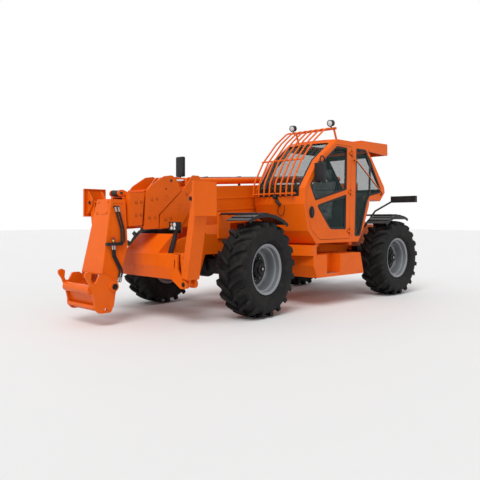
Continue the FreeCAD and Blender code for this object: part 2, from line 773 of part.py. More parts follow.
def cylinder_pair(foot, head, across, sizes):
    """Hydraulic cylinder: barrel with its foot eye and pin, and rod with piston and head eye.

    The head eye runs free between its two lugs, where the real cylinder has its second pin.
    """
    (barrel_radius, bore_radius, rod_radius, barrel_length, eye_radius, eye_width, pin_radius, pin_half,
     drawn) = sizes
    way = head - foot
    length = way.Length
    way.normalize()
    half = across * (eye_width / 2.0)
    eye = rod(foot - half, foot + half, eye_radius)
    base = eye_radius * 0.8
    inside = eye_radius + 12.0
    tube = Part.makeCylinder(barrel_radius, barrel_length - base, foot + way * base, way)
    bore = Part.makeCylinder(bore_radius, barrel_length - inside - gland_length, foot + way * inside, way)
    gland_start = foot + way * (barrel_length - gland_length - 1.0)
    gland = Part.makeCylinder(rod_radius + pin_fit, gland_length + 2.0, gland_start, way)
    barrel = joined([tube, eye]).cut([bore, gland])
    tail = inside + 4.0 + drawn
    stick = Part.makeCylinder(rod_radius, length - eye_radius * 0.5 - tail, foot + way * tail, way)
    piston = Part.makeCylinder(bore_radius - seat_gap, piston_length, foot + way * tail, way)
    head_eye = rod(head - half, head + half, eye_radius)
    ram = joined([stick, piston, head_eye])
    long_half = across * pin_half
    barrel = joined([barrel, rod(foot - long_half, foot + long_half, pin_radius)])
    return barrel, ram


def leg_cylinder(side):
    """Cylinder inside the front bridge that swings one stabiliser arm."""
    x = (arm_lug_x0 + arm_lug_x1) / 2.0
    boss = arm_boss()
    sizes = (leg_barrel_radius, leg_bore_radius, leg_rod_radius, leg_barrel_length, leg_eye_radius,
             leg_eye_width, leg_pin_radius, leg_eye_width / 2.0, 0.0)
    barrel, ram = cylinder_pair(V(x, leg_cyl_foot_y, leg_cyl_foot_z), V(x, boss[0], boss[1]), ALONG_X,
                                sizes)
    pin = rod_x(leg_cyl_foot_y, leg_cyl_foot_z, bridge_x0 + 1.0, bridge_x1 - 8.0, leg_pin_radius)
    return mirrored(joined([barrel, pin]), side), mirrored(ram, side)


def lift_cylinder():
    sizes = (lift_barrel_radius, lift_bore_radius, lift_rod_radius, lift_barrel_length, lift_eye_radius,
             lift_eye_width, lift_pin_radius, lift_eye_width / 2.0 + side_play + lift_lug, 0.0)
    foot = V(lift_foot_x, boom_y, lift_foot_z)
    return cylinder_pair(foot, boom_point(lift_head_s, lift_head_t), ALONG_Y, sizes)


def tilt_cylinder():
    sizes = (tilt_barrel_radius, tilt_bore_radius, tilt_rod_radius, tilt_barrel_length, tilt_eye_radius,
             tilt_eye_width, tilt_foot_radius, tilt_eye_width / 2.0 + side_play + tilt_lever_plate,
             tilt_drawn)
    eye = tilt_eye()
    return cylinder_pair(V(tilt_foot_x, boom_y, tilt_foot_z), V(eye[0], boom_y, eye[1]), ALONG_Y, sizes)


# Boom

def collar_plates(points, inner, thick):
    """Pair of side plates from an outline measured ahead of the outer section's head."""
    plate = moved(plate_xz(points, inner, inner + thick), head_s)
    return [mirrored(plate, side) for side in (1, -1)]


def plug_grooves(s, t):
    """Round grooves about the wear pad plugs in a pair of collar plates."""
    face = outer_half_w + collar_thick
    ring = rod_y(s, t, face - plug_depth, face + 1, plug_radius).cut(
        rod_y(s, t, face - plug_depth - 1, face + 2, plug_radius - plug_groove))
    return [mirrored(ring, side) for side in (1, -1)]


def wear_pads(s0, s1, half_w, half_h, gap_w, gap_h):
    """Wear pads at a section's mouth, on its four walls, about the section inside."""
    pads = []
    for sign in (1, -1):
        t0 = sign * (half_h + seat_gap)
        t1 = sign * (half_h + gap_h + 1.0)
        y0 = sign * (half_w + seat_gap)
        y1 = sign * (half_w + gap_w + 1.0)
        pads.append(box(s0, s1, -half_w * 0.6, half_w * 0.6, min(t0, t1), max(t0, t1)))
        pads.append(box(s0, s1, min(y0, y1), max(y0, y1), -half_h * 0.6, half_h * 0.6))
    return pads


def tail_pads(s0, s1, half_w, half_h, gap_w, gap_h):
    """Wear pads on a section's tail, which slide inside the section outside."""
    pads = []
    for sign in (1, -1):
        t0 = sign * (half_h - 1.0)
        t1 = sign * (half_h + gap_h - seat_gap)
        y0 = sign * (half_w - 1.0)
        y1 = sign * (half_w + gap_w - seat_gap)
        pads.append(box(s0, s1, -half_w * 0.6, half_w * 0.6, min(t0, t1), max(t0, t1)))
        pads.append(box(s0, s1, min(y0, y1), max(y0, y1), -half_h * 0.6, half_h * 0.6))
    return pads


def boom_outer():
    """Base section with its root block, front collar, cylinder saddles and lift lugs."""
    tube = box_tube(outer_start, outer_end, outer_half_w, outer_half_h, outer_wall)
    slant = plate_xz([(head_s - 417, 232), (head_s - 417, 300), (head_s + 20, 300), (head_s + 20, -112)],
                     -outer_half_w - 1, outer_half_w + 1)
    pieces = [tube.cut(slant)]
    pieces += collar_plates([(0, -262), (-14, -92), (-417, 226), (-595, 430, 40), (-720, 420, 40),
                             (-760, 330, 30), (-700, 130, 60), (-350, -262)], outer_half_w, collar_thick)
    pieces.append(box(head_s - 760, head_s - 600, -outer_half_w - 1, outer_half_w + 1, outer_half_h - 1,
                      292.0))
    for side in (1, -1):
        cheek = plate_xz([(-760, 274), (-570, 274), (-610, 410, 40), (-720, 410, 40)], 66.0, 90.0)
        pieces.append(mirrored(moved(cheek, head_s), side))
    for s in (extend_barrel_start + 60.0, head_s - 2500.0):
        pieces.append(box(s, s + 60.0, -70, 70, outer_half_h - 1, extend_axis_t))
    lug_face = lift_eye_width / 2.0 + side_play
    for side in (1, -1):
        lug = plate_xz([(lift_head_s - 100, 1 - outer_half_h), (lift_head_s + 330, 1 - outer_half_h),
                        (lift_head_s + 72, lift_head_t - 66, 62), (lift_head_s - 62, lift_head_t - 66, 60)],
                       lug_face, lug_face + lift_lug)
        pieces.append(mirrored(lug, side))
    for t in (-75.0, 95.0):
        for side in (1, -1):
            pieces.append(mirrored(box(200, head_s - 700, outer_half_w - 2, outer_half_w + 5, t - 9,
                                       t + 9), side))
    root = outer_half_w + boom_side_gap - side_play
    pieces.append(rod_y(0, 0, -root, root, 105.0))
    gap_w = outer_half_w - outer_wall - second_half_w
    gap_h = outer_half_h - outer_wall - second_half_h
    clear_w = second_half_w + seat_gap
    clear_h = second_half_h + seat_gap
    clear = box(second_start - 40, head_s + 100, -clear_w, clear_w, -clear_h, clear_h)
    barrel_seat = Part.makeCylinder(extend_barrel_radius + seat_gap, head_s, V(-100, 0, extend_axis_t),
                                    ALONG_X)
    trunnion = rod_y(extend_trunnion_s, extend_axis_t, -100, 100, extend_trunnion_radius + pin_fit)
    body = joined(pieces).cut([clear, barrel_seat, trunnion] + plug_grooves(head_s - 341, 4))
    front = wear_pads(head_s - 580, head_s - 480, second_half_w, second_half_h, gap_w, gap_h)
    pin_half = root + side_play + tower_plate + 12.0
    pin = rod_y(0, 0, -pin_half, pin_half, pivot_pin_radius)
    heads = []
    for side in (1, -1):
        head = rod_y(lift_head_s, lift_head_t, lug_face, lug_face + lift_lug + pin_head, lift_pin_radius)
        heads.append(mirrored(head, side))
    return on_boom(joined([body, pin] + heads + front))


def boom_second():
    tube = box_tube(second_start, head_s + 200.0, second_half_w, second_half_h, second_wall)
    pieces = [tube]
    pieces += collar_plates([(255, -262), (242, -200), (190, 220, 12), (107, 304, 30), (-110, 420, 40),
                             (-240, 430, 50), (-305, 385, 40), (-365, 262, 20), (-408, 240, 8), (6, -84),
                             (20, -262)], outer_half_w, collar_thick)
    for side in (1, -1):
        filler = box(head_s + 40, head_s + 190, second_half_w - 2, outer_half_w + 1, -225, 205)
        pieces.append(mirrored(filler, side))
        lug = plate_xz([(-300, 300), (-295, 395, 40), (-170, 415, 50), (0, 250), (-80, 236), (-240, 242)],
                       34.0, 60.0)
        pieces.append(mirrored(moved(lug, head_s), side))
    pieces.append(box(head_s - 200, head_s + 190, -outer_half_w - 1, outer_half_w + 1, second_half_h - 1,
                      252.0))
    gap_w = second_half_w - second_wall - third_half_w
    gap_h = second_half_h - second_wall - third_half_h
    clear_w = third_half_w + seat_gap
    clear_h = third_half_h + seat_gap
    clear = box(third_start - 40, head_s + 300, -clear_w, clear_w, -clear_h, clear_h)
    bore = rod_y(extend_pin_s, extend_axis_t, -260, 260, extend_pin_radius + pin_fit)
    sight = rod_y(head_s - 131, 249, -260, 260, 14.0)
    body = joined(pieces).cut([bore, sight, clear] + plug_grooves(head_s - 124, 127))
    outer_gap_w = outer_half_w - outer_wall - second_half_w
    outer_gap_h = outer_half_h - outer_wall - second_half_h
    front = wear_pads(head_s + 60, head_s + 160, third_half_w, third_half_h, gap_w, gap_h)
    rear = tail_pads(second_start, second_start + 90, second_half_w, second_half_h, outer_gap_w,
                     outer_gap_h)
    return on_boom(joined([body] + front + rear))


def boom_third():
    tube = box_tube(third_start, head_s + 450.0, third_half_w, third_half_h, third_wall)
    pieces = [tube]
    for side in (1, -1):
        block = plate_xz([(276, -205), (218, 212, 8), (444, 200), (465, -205)], third_half_w - 2,
                         outer_half_w + 14)
        pieces.append(mirrored(moved(block, head_s), side))
        ear = plate_xz([(350, 190), (370, 212), (460, 256, 40), (540, 256, 44), (540, 176, 36), (440, 176)],
                       pulley_half, pulley_half + 24.0)
        pieces.append(mirrored(moved(ear, head_s), side))
    pieces.append(box(head_s + 224, head_s + 444, -outer_half_w - 13, outer_half_w + 13,
                      third_half_h - 1, third_half_h + 12))
    gap_w = third_half_w - third_wall - fourth_half_w
    gap_h = third_half_h - third_wall - fourth_half_h
    clear_w = fourth_half_w + seat_gap
    clear_h = fourth_half_h + seat_gap
    clear = box(fourth_start - 40, head_s + 600, -clear_w, clear_w, -clear_h, clear_h)
    bore = rod_y(pulley_s, pulley_t, -120, 120, pulley_pin_radius + pin_fit)
    body = joined(pieces).cut([clear, bore])
    outer_gap_w = second_half_w - second_wall - third_half_w
    outer_gap_h = second_half_h - second_wall - third_half_h
    front = wear_pads(head_s + 320, head_s + 420, fourth_half_w, fourth_half_h, gap_w, gap_h)
    rear = tail_pads(third_start, third_start + 90, third_half_w, third_half_h, outer_gap_w, outer_gap_h)
    return on_boom(joined([body] + front + rear))


def hose_pulley():
    """Grooved roller that leads the hoses over the end of the boom."""
    reach = pulley_half - seat_gap
    sheave = rod_y(0, 0, -reach, reach, pulley_radius)
    grooves = []
    for i in range(pulley_grooves):
        y = (i - (pulley_grooves - 1) / 2.0) * pulley_half * 2.0 / pulley_grooves
        grooves.append(turned_ring([(y - 12, pulley_radius + 1), (y - 6, pulley_radius - 8),
                                    (y + 6, pulley_radius - 8),
                                    (y + 12, pulley_radius + 1)]))
    pin = rod_y(0, 0, -pulley_half - 32.0, pulley_half + 32.0, pulley_pin_radius)
    return on_boom(moved(joined([sheave.cut(grooves), pin]), pulley_s, 0, pulley_t))


def nose_half(z):
    share = (1524.0 - z) / (1524.0 - 600.0)
    return nose_half_top + (nose_half_bottom - nose_half_top) * share


def boom_nose():
    """Innermost section with the hollow drop column that carries the carriage."""
    tube = box_tube(fourth_start, boom_length, fourth_half_w, fourth_half_h, fourth_wall)
    gap_w = third_half_w - third_wall - fourth_half_w
    gap_h = third_half_h - third_wall - fourth_half_h
    rear = tail_pads(fourth_start, fourth_start + 90, fourth_half_w, fourth_half_h, gap_w, gap_h)
    tube = on_boom(joined([tube] + rear))
    side = [(1372.0, 1518.0), (1580.0, 1524.0), (1752.0, 622.0), (1716.0, 420.0, 50), (1590.0, 400.0, 60),
            (1486.0, 640.0, 40), (1372.0, 930.0, 60)]
    wide = plate_xz(side, boom_y - 320.0, boom_y + 320.0)
    taper = plate_yz([(boom_y - nose_half(380.0), 380.0), (boom_y + nose_half(380.0), 380.0),
                      (boom_y + nose_half_top, 1530.0), (boom_y - nose_half_top, 1530.0)], 1300.0, 1800.0)
    recess = plate_xz([(1400.0, 1470.0, 20), (1552.0, 1474.0, 20), (1712.0, 640.0, 20), (1640.0, 600.0, 20),
                       (1530.0, 640.0, 20), (1400.0, 940.0, 40)], boom_y - 320.0, boom_y + 320.0)
    flush = plate_yz([(boom_y - nose_half(380.0) + nose_recess, 380.0),
                      (boom_y + nose_half(380.0) - nose_recess, 380.0),
                      (boom_y + nose_half_top - nose_recess, 1530.0),
                      (boom_y - nose_half_top + nose_recess, 1530.0)],
                     1300.0, 1800.0)
    cover = plate_xz([(1582.0, 1512.0), (1586.0, 1513.0), (1620.0, 1334.0), (1616.0, 1333.0)],
                     boom_y - 132.0, boom_y + 132.0)
    column = joined([wide.common(taper), cover]).cut(recess.cut(flush))
    inner_side = [(1386.0, 1504.0), (1562.0, 1508.0), (1738.0, 605.0), (1800.0, 605.0), (1800.0, 380.0),
                  (1480.0, 380.0), (1386.0, 925.0)]
    inner_wide = plate_xz(inner_side, boom_y - 320.0, boom_y + 320.0)
    low = nose_half(370.0) - nose_wall
    high = nose_half_top - nose_wall
    inner_taper = plate_yz([(boom_y - low, 370.0), (boom_y + low, 370.0), (boom_y + high, 1510.0),
                            (boom_y - high, 1510.0)], 1300.0, 1900.0)
    pieces = [tube, column.cut(inner_wide.common(inner_taper))]
    span = nose_half(tilt_pin_z)
    for sign in (1, -1):
        y0 = boom_y + sign * (span - 30.0)
        y1 = boom_y + sign * (carriage_half - carriage_plate - side_play)
        pieces.append(rod_y(tilt_pin_x, tilt_pin_z, min(y0, y1), max(y0, y1), 62.0))
        lug_y = boom_y + sign * (tilt_eye_width / 2.0 + side_play + 10.0)
        pieces.append(plate_xz([(1378, 1330), (tilt_foot_x + 45, tilt_foot_z + 60, 30),
                                (tilt_foot_x + 45, tilt_foot_z - 48, 40), (1378, 1090)], lug_y - 10.0,
                               lug_y + 10.0))
    bores = [rod_y(tilt_pin_x, tilt_pin_z, boom_y - 400, boom_y + 400, tilt_pin_radius + pin_fit),
             rod_y(tilt_foot_x, tilt_foot_z, boom_y - 90, boom_y + 90, tilt_foot_radius + pin_fit)]
    return joined(pieces).cut(bores)


def nose_hoses():
    """Tap block on the left of the nose column, with two hoses down to it and two on to the tilt pivot."""
    def beside(x, z, off):
        return (x, boom_y + nose_half(z) + off, z)

    off = hose_radius + 10.0
    block_y = boom_y + nose_half(tap_block_z)
    pieces = [box(1470, 1690, block_y - 6, block_y + 46, tap_block_z - 18, tap_block_z + 18),
              rod_z(1589, block_y + 20, tap_block_z - 60, tap_block_z + 70, 13.0)]
    # columns: places of the fitting on the nose, the bend and the tap block, along x and z
    for x0, x1, x2 in ((1542.0, 1470.0, 1470.0), (1500.0, 1432.0, 1432.0)):
        pieces.append(rod_y(x0, 1425, boom_y + nose_half(1425) - 6, boom_y + nose_half(1425) + off + 12,
                            14.0))
        pieces.append(bent_tube([beside(x0, 1425, off), beside(x1, 1150, off),
                                 beside(x2, tap_block_z + 20, off),
                                 beside(x2 + 60, tap_block_z, off)], hose_radius, 52.0))
    for x0, x1 in ((1574.0, 1478.0), (1604.0, 1512.0)):
        foot = beside(x1 + 30, 500, 4.0)
        pieces.append(bent_tube([beside(x0, tap_block_z - 8, off), beside(x0, 830, off),
                                 beside(x1, 640, off),
                                 foot], hose_radius, 90.0))
    flush = plate_yz([(boom_y, 380.0), (boom_y + nose_half(380.0) + seat_gap, 380.0),
                      (boom_y + nose_half_top + seat_gap, 1530.0), (boom_y, 1530.0)], 1300.0, 1800.0)
    return joined(pieces).cut(flush)


def boom_hoses():
    """Pair of hoses in clamps beside the telescoping cylinder, along the top of the outer section."""
    deck = outer_half_h + seat_gap
    pieces = []
    for y in boom_hose_y:
        pieces.append(bent_tube([(second_start + 20, y, deck), (second_start + 20, y, boom_hose_t),
                                 (head_s - 850, y, boom_hose_t), (head_s - 850, y, deck)], hose_radius,
                                60.0))
    low, high = min(boom_hose_y) - 22, max(boom_hose_y) + 22
    for i in range(boom_clamps):
        s = second_start + 260 + i * (head_s - 1400 - second_start) / (boom_clamps - 1)
        pieces.append(box(s, s + 30, low, high, boom_hose_t - 18, boom_hose_t + 18))
        pieces.append(box(s + 5, s + 25, low + 18, high - 18, deck, boom_hose_t))
    return on_boom(joined(pieces))


def tilt_eye():
    angle = math.radians(tilt_lever_deg)
    return (tilt_pin_x + tilt_lever * math.cos(angle), tilt_pin_z + tilt_lever * math.sin(angle))


def carriage():
    """Quick-hitch carriage: hooked side plates, cross tube, lock cylinder and tilt lever."""
    profile = [(1600, 470, 50), (1640, 530, 40), (1749, 612, 40), (1842, 610, 30), (1868, 560, 20),
               (1890, 520, 22),
               (1940, 520, 22), (1952, 560, 16), (1945, 640, 14), (1990, 664, 18), (front_reach, 645, 12),
               (front_reach, 605, 12), (1985, 540, 30), (1930, 400, 60), (1905, 300, 60), (1900, 215, 30),
               (1840, 160, 40),
               (1680, 160, 40), (1640, 250, 60), (1625, 360, 40)]
    pieces = []
    for sign in (1, -1):
        inside = boom_y + sign * (carriage_half - carriage_plate)
        outside = boom_y + sign * carriage_half
        pieces.append(plate_xz(profile, min(inside, outside), max(inside, outside)))
        pin_face = outside + sign * 22.0
        pieces.append(rod_y(tilt_pin_x, tilt_pin_z, min(outside, pin_face), max(outside, pin_face), 60.0))
        lock_face = outside + sign * 12.0
        pieces.append(rod_y(lock_pin_x, lock_pin_z, min(outside, lock_face), max(outside, lock_face), 38.0))
    inner = carriage_half - carriage_plate + 1.0
    pieces.append(rod_y(1925, 445, boom_y - inner, boom_y + inner, 56.0))
    pieces.append(plate_xz([(1800, 180), (1830, 180), (1905, 400), (1880, 410)], boom_y - inner,
                           boom_y + inner))
    pieces.append(rod_y(1885, 235, boom_y - inner, boom_y + inner, 24.0))
    eye = tilt_eye()
    for sign in (1, -1):
        near = boom_y + sign * (tilt_eye_width / 2.0 + side_play)
        far = near + sign * tilt_lever_plate
        lever = plate_xz([(eye[0] - 36, eye[1] - 38, 34), (eye[0] + 20, eye[1] - 40, 30),
                          (tilt_pin_x + 30, tilt_pin_z - 68, 40),
                          (1880, 395), (1900, 470), (tilt_pin_x + 60, tilt_pin_z + 50, 40),
                          (tilt_pin_x - 40, tilt_pin_z + 50, 40), (eye[0] - 36, eye[1] + 30, 30)],
                         min(near, far), max(near, far))
        pieces.append(lever)
        tip = far + sign * pin_head
        pieces.append(rod_y(eye[0], eye[1], min(near, tip), max(near, tip), tilt_foot_radius))
    body = joined(pieces)
    pin_half = carriage_half + 30.0
    pin = rod_y(tilt_pin_x, tilt_pin_z, boom_y - pin_half, boom_y + pin_half, tilt_pin_radius)
    bores = []
    for sign in (1, -1):
        y = boom_y + sign * carriage_half
        bores.append(rod_y(lock_pin_x, lock_pin_z, y - 60, y + 60, lock_bore_radius))
    return joined([body, pin]).cut(bores)


def extend_cylinder():
    """Telescoping cylinder along the top of the boom, held by trunnions on the outer section."""
    def along(start, end, radius):
        return Part.makeCylinder(radius, end - start, V(start, 0, extend_axis_t), ALONG_X)

    barrel = along(extend_barrel_start, extend_barrel_end, extend_barrel_radius)
    trunnion = rod_y(extend_trunnion_s, extend_axis_t, -96.0, 96.0, extend_trunnion_radius)
    bore = along(extend_barrel_start + 25.0, extend_barrel_end - gland_length, extend_bore_radius)
    gland = along(extend_barrel_end - gland_length - 1.0, extend_barrel_end + 1.0,
                  extend_rod_radius + pin_fit)
    stick = along(extend_rod_start, extend_pin_s - 20.0, extend_rod_radius)
    piston = along(extend_rod_start, extend_rod_start + piston_length, extend_bore_radius - seat_gap)
    eye = rod_y(extend_pin_s, extend_axis_t, -33.0, 33.0, 42.0)
    pin = rod_y(extend_pin_s, extend_axis_t, -66.0, 66.0, extend_pin_radius)
    return on_boom(joined([barrel, trunnion]).cut([bore, gland])), on_boom(joined([stick, piston, eye,
                                                                                   pin]))


# Cab

def cab_body(inset):
    """Solid cab envelope, inset on every side: sections at six heights, joined by a ruled loft."""
    # columns: height, x of the front corners, x of the rear wall
    sections = (
        (cab_floor_z, -1160.0, -2240.0),
        (1110.0, -985.0, -2370.0),
        (1490.0, -893.0, -2545.0),
        (1720.0, -905.0, -2590.0),
        (2130.0, -1210.0, -2610.0),
        (cab_roof_z, -1690.0, -2440.0))
    wires = []
    top = len(sections) - 1
    for i, (z, front, rear) in enumerate(sections):
        height = z + inset if i == 0 else z - inset if i == top else z
        lean = inset * (1.0 if i < 4 else 1.25)
        y0 = cab_y0 + inset
        y1 = cab_y1 - inset
        x0 = rear + inset
        x1 = front - lean
        corners = [V(x0, y0, height), V(x1, y0, height), V(x1, y1, height), V(x0, y1, height)]
        bulge = V(x1 + cab_bulge, (y0 + y1) / 2.0, height)
        edges = [Part.LineSegment(corners[0], corners[1]).toShape(),
                 Part.Arc(corners[1], bulge, corners[2]).toShape(),
                 Part.LineSegment(corners[2], corners[3]).toShape(),
                 Part.LineSegment(corners[3], corners[0]).toShape()]
        wires.append(Part.Wire(edges))
    return Part.makeLoft(wires, True, True)


def cab_rear(inset):
    """Rear bay of the cab, whose glass slopes out behind the seat."""
    grow = inset
    return plate_xz([(-2400.0, 2440.0 - grow), (-2470.0 + grow * 0.4, 2440.0 - grow),
                     (-2620.0 + grow, 2290.0),
                     (-3020.0 + grow, 1810.0), (-3040.0 + grow, 1716.0 + grow * 0.3),
                     (-2890.0 + grow * 0.5, 1570.0 + grow),
                     (-2400.0, 1612.0 + grow)], cab_y0 + 10.0 + inset, cab_y1 - 10.0 - inset)


door_outline = [(-1990.0, 975.0, 20), (-1250.0, 975.0, 150), (-1040.0, 1130.0, 200), (-935.0, 1490.0, 250),
                (-955.0, 1700.0, 200), (-1240.0, 2090.0, 120), (-1665.0, 2400.0, 60), (-2062.0, 2400.0, 15)]
upper_window = [(-1149.0, 1540.0, 20), (-1024.0, 1764.0, 30), (-1299.0, 2110.0, 40), (-1677.0, 2377.0, 30),
                (-1943.0, 2372.0, 20), (-1925.0, 1725.0, 20)]
lower_window = [(-1179.0, 1477.0, 30), (-1917.0, 1656.0, 20), (-1900.0, 1120.0, 20), (-1498.0, 1125.0, 120)]
side_window = [(-2135.0, 1010.0, 30), (-2290.0, 1010.0, 60), (-2500.0, 1560.0, 30), (-2560.0, 1640.0, 20),
               (-2950.0, 1720.0, 30), (-2600.0, 2240.0, 40), (-2450.0, 2385.0, 60), (-2190.0, 2385.0, 20)]


def door_hinge(z):
    """Door half and shell half of one door hinge at a height on the leaning hinge axis."""
    lean = math.radians(door_hinge_lean_deg)
    x = door_hinge_x - (z - door_foot_z) * math.tan(lean)
    way = V(-math.sin(lean), 0, math.cos(lean))
    centre = V(x, door_hinge_y, z)

    def barrel(low, high, radius):
        return rod(centre + way * low, centre + way * high, radius)

    def leaf(ahead, low, high):
        return plate_xy([(x + ahead * 60, cab_y1 - 1), (x + ahead * 18, cab_y1 - 1), (x, cab_y1 + 7),
                         (x, cab_y1 + 20), (x + ahead * 60, cab_y1 + 10)], z + low, z + high)

    door_side = joined([barrel(-16, 16, hinge_eye_radius), leaf(1, -16, 16)])
    shell_side = joined([barrel(-40, -17, hinge_eye_radius), barrel(17, 40, hinge_eye_radius),
                         leaf(-1, -40, -17), leaf(-1, 17, 40), barrel(-40, 40, hinge_pin_radius)])
    return door_side.cut(barrel(-20, 20, hinge_pin_radius + pin_fit)), shell_side


def door_opening(grow):
    points = []
    middle = V(-1550.0, 1650.0, 0)
    for point in door_outline:
        place = V(point[0], point[1], 0)
        away = place - middle
        away.normalize()
        place = place + away * grow
        points.append((place.x, place.y, point[2]))
    return points


def windscreen_zone(shrink):
    """Region of the curved front that the windscreen fills."""
    return plate_xz([(-650.0, 1600.0 + shrink), (-1400.0, 1600.0 + shrink), (-1480.0, 2120.0),
                     (-1760.0, 2600.0),
                     (-650.0, 2600.0)], cab_y0 + 75.0 + shrink, cab_y1 - 75.0 - shrink).cut(
        box(-3000, 0, 0, 2000, 2420.0 - shrink, 2700))


def roof_zone(shrink):
    return box(-2360.0 + shrink, -1800.0 - shrink, cab_y0 + 120.0 + shrink, cab_y1 - 120.0 - shrink,
               2380.0, 2600.0)


def inner_zone(shrink):
    points = [(-2480.0 + shrink, 1620.0 + shrink, 40), (-1090.0 - shrink, 1620.0 + shrink, 60),
              (-1330.0 - shrink, 2080.0, 60), (-1720.0, 2380.0 - shrink, 40),
              (-2440.0 + shrink, 2380.0 - shrink, 40)]
    return plate_xz(points, cab_y0 - 20.0, cab_y0 + 80.0)


def rear_zone(shrink):
    return box(-3200.0, -2560.0, cab_y0 + 90.0 + shrink, cab_y1 - 90.0 - shrink, 1745.0 + shrink,
               2270.0 - shrink)


def side_zone(shrink, points):
    middle = V(sum(p[0] for p in points) / len(points), sum(p[1] for p in points) / len(points), 0)
    moved_points = []
    for point in points:
        place = V(point[0], point[1], 0)
        inward = middle - place
        inward.normalize()
        place = place + inward * shrink
        moved_points.append((place.x, place.y, point[2]))
    return plate_xz(moved_points, cab_y1 - 90.0, cab_y1 + 40.0)


def cab_envelope(inset):
    return joined([cab_body(inset), cab_rear(inset)])


def cab_shell():
    shell = cab_envelope(0.0).cut(cab_envelope(cab_wall))
    cuts = [windscreen_zone(0.0), roof_zone(0.0), inner_zone(0.0), rear_zone(0.0),
            side_zone(0.0, side_window),
            plate_xz(door_opening(0.0), cab_y1 - 120.0, cab_y1 + 40.0)]
    shell = shell.cut(cuts)
    visor = plate_xz([(-2400.0, 2535.0, 20), (-3210.0, 2545.0, 15), (-3215.0, 2350.0, 15),
                      (-2640.0, 2380.0, 60),
                      (-2480.0, 2462.0, 40), (-2400.0, 2470.0)], 560.0, cab_y1 - 60.0)
    visor_core = plate_xz([(-2500.0, 2515.0), (-3190.0, 2525.0), (-3190.0, 2340.0), (-2640.0, 2360.0),
                           (-2500.0, 2450.0)], 580.0, cab_y1 - 80.0)
    stay = bent_tube([(-2128.0, cab_y1 - 5, 2190.0), (-2128.0, cab_y1 + 42, 2190.0),
                      (-2880.0, cab_y1 + 42, 1700.0),
                      (-2925.0, cab_y1 - 18, 1672.0)], stay_radius, 30.0)
    hinges = [door_hinge(z)[1] for z in hinge_heights]
    return joined([shell, visor.cut(visor_core), stay] + hinges)


def cab_glass():
    outer = cab_envelope(12.0)
    skin = outer.cut(cab_envelope(12.0 + glass_thick))
    panes = []
    for zone in (windscreen_zone(seat_gap), roof_zone(seat_gap), inner_zone(seat_gap), rear_zone(seat_gap),
                 side_zone(seat_gap, side_window)):
        panes += skin.common(zone).Solids
    return Part.makeCompound(panes)


def cab_door():
    leaf = plate_xz(door_opening(-door_gap), cab_y1 - cab_wall, cab_y1)
    leaf = leaf.common(cab_body(0.0))
    leaf = leaf.cut([plate_xz(upper_window, cab_y1 - 100, cab_y1 + 20),
                     plate_xz(lower_window, cab_y1 - 100, cab_y1 + 20)])
    return joined([leaf] + [door_hinge(z)[0] for z in hinge_heights])


def door_glass():
    panes = []
    for points in (upper_window, lower_window):
        middle = V(sum(p[0] for p in points) / len(points), sum(p[1] for p in points) / len(points), 0)
        smaller = []
        for point in points:
            place = V(point[0], point[1], 0)
            inward = middle - place
            inward.normalize()
            place = place + inward * seat_gap * 2.0
            smaller.append((place.x, place.y, point[2]))
        panes.append(plate_xz(smaller, cab_y1 - 20.0, cab_y1 - 20.0 + glass_thick))
    return Part.makeCompound(panes)


def screen_guard():
    """Curved bars over the windscreen and roof edge, held by two cross bars."""
    bars = []
    near = guard_near
    far = guard_far
    for i in range(guard_bars):
        y = far + (near - far) * i / (guard_bars - 1)
        bars.append(bent_tube([(-775.0, y, 1608.0), (-790.0, y, 1800.0), (-990.0, y, 2130.0),
                               (-1290.0, y, 2440.0),
                               (-1560.0, y, 2640.0), (-1790.0, y, 2665.0)], 13.0, 260.0))
    cross = rod(V(-1000.0, far - 30, 2142.0), V(-1000.0, near + 30, 2142.0), 12.0)
    top = rod(V(-1775.0, far - 40, 2664.0), V(-1775.0, near + 40, 2664.0), 20.0)
    lower = rod(V(-776.0, far - 20, 1640.0), V(-776.0, near + 20, 1640.0), 12.0)
    feet = []
    for y in (far, near):
        feet.append(rod(V(-1775.0, y, 2660.0), V(-1850.0, y, cab_roof_z - 1.0), 16.0))
        feet.append(rod(V(-776.0, y, 1640.0), V(-905.0, y, 1640.0), 14.0))
    body = joined(bars + [cross, top, lower] + feet)
    return body.cut(cab_envelope(-seat_gap))


def seat():
    base = box(-1900, -1480, 400, 820, cab_floor_z + cab_wall + seat_gap, 1275)
    cushion = plate_xz([(-1950, 1262, 20), (-1420, 1262, 40), (-1400, 1380, 50), (-1950, 1350, 20)], 370,
                       850)
    back = plate_xz([(-1950, 1330, 30), (-1850, 1340, 40), (-1960, 1890, 40), (-2060, 1890, 40)], 380, 840)
    rest = plate_xz([(-1975, 1870, 10), (-1955, 1900, 20), (-1985, 2080, 40), (-2080, 2080, 40),
                     (-2052, 1870, 10)], 480, 740)
    return joined([base, cushion, back, rest])


def cab_controls():
    floor = cab_floor_z + cab_wall + seat_gap
    console = plate_xz([(-1150, floor), (-1290, floor), (-1180, 1470, 40), (-1060, 1490, 40)], 470, 750)
    column = rod(V(-1110, 610, 1440), V(-1285, 610, 1608), 24.0)
    wheel = Part.makeTorus(190, 14, V(-1280, 610, 1604), V(-0.7, 0, 0.72))
    spoke = rod(V(-1280, 425, 1604), V(-1280, 795, 1604), 11.0)
    return joined([console, column, wheel, spoke])


# Body panels

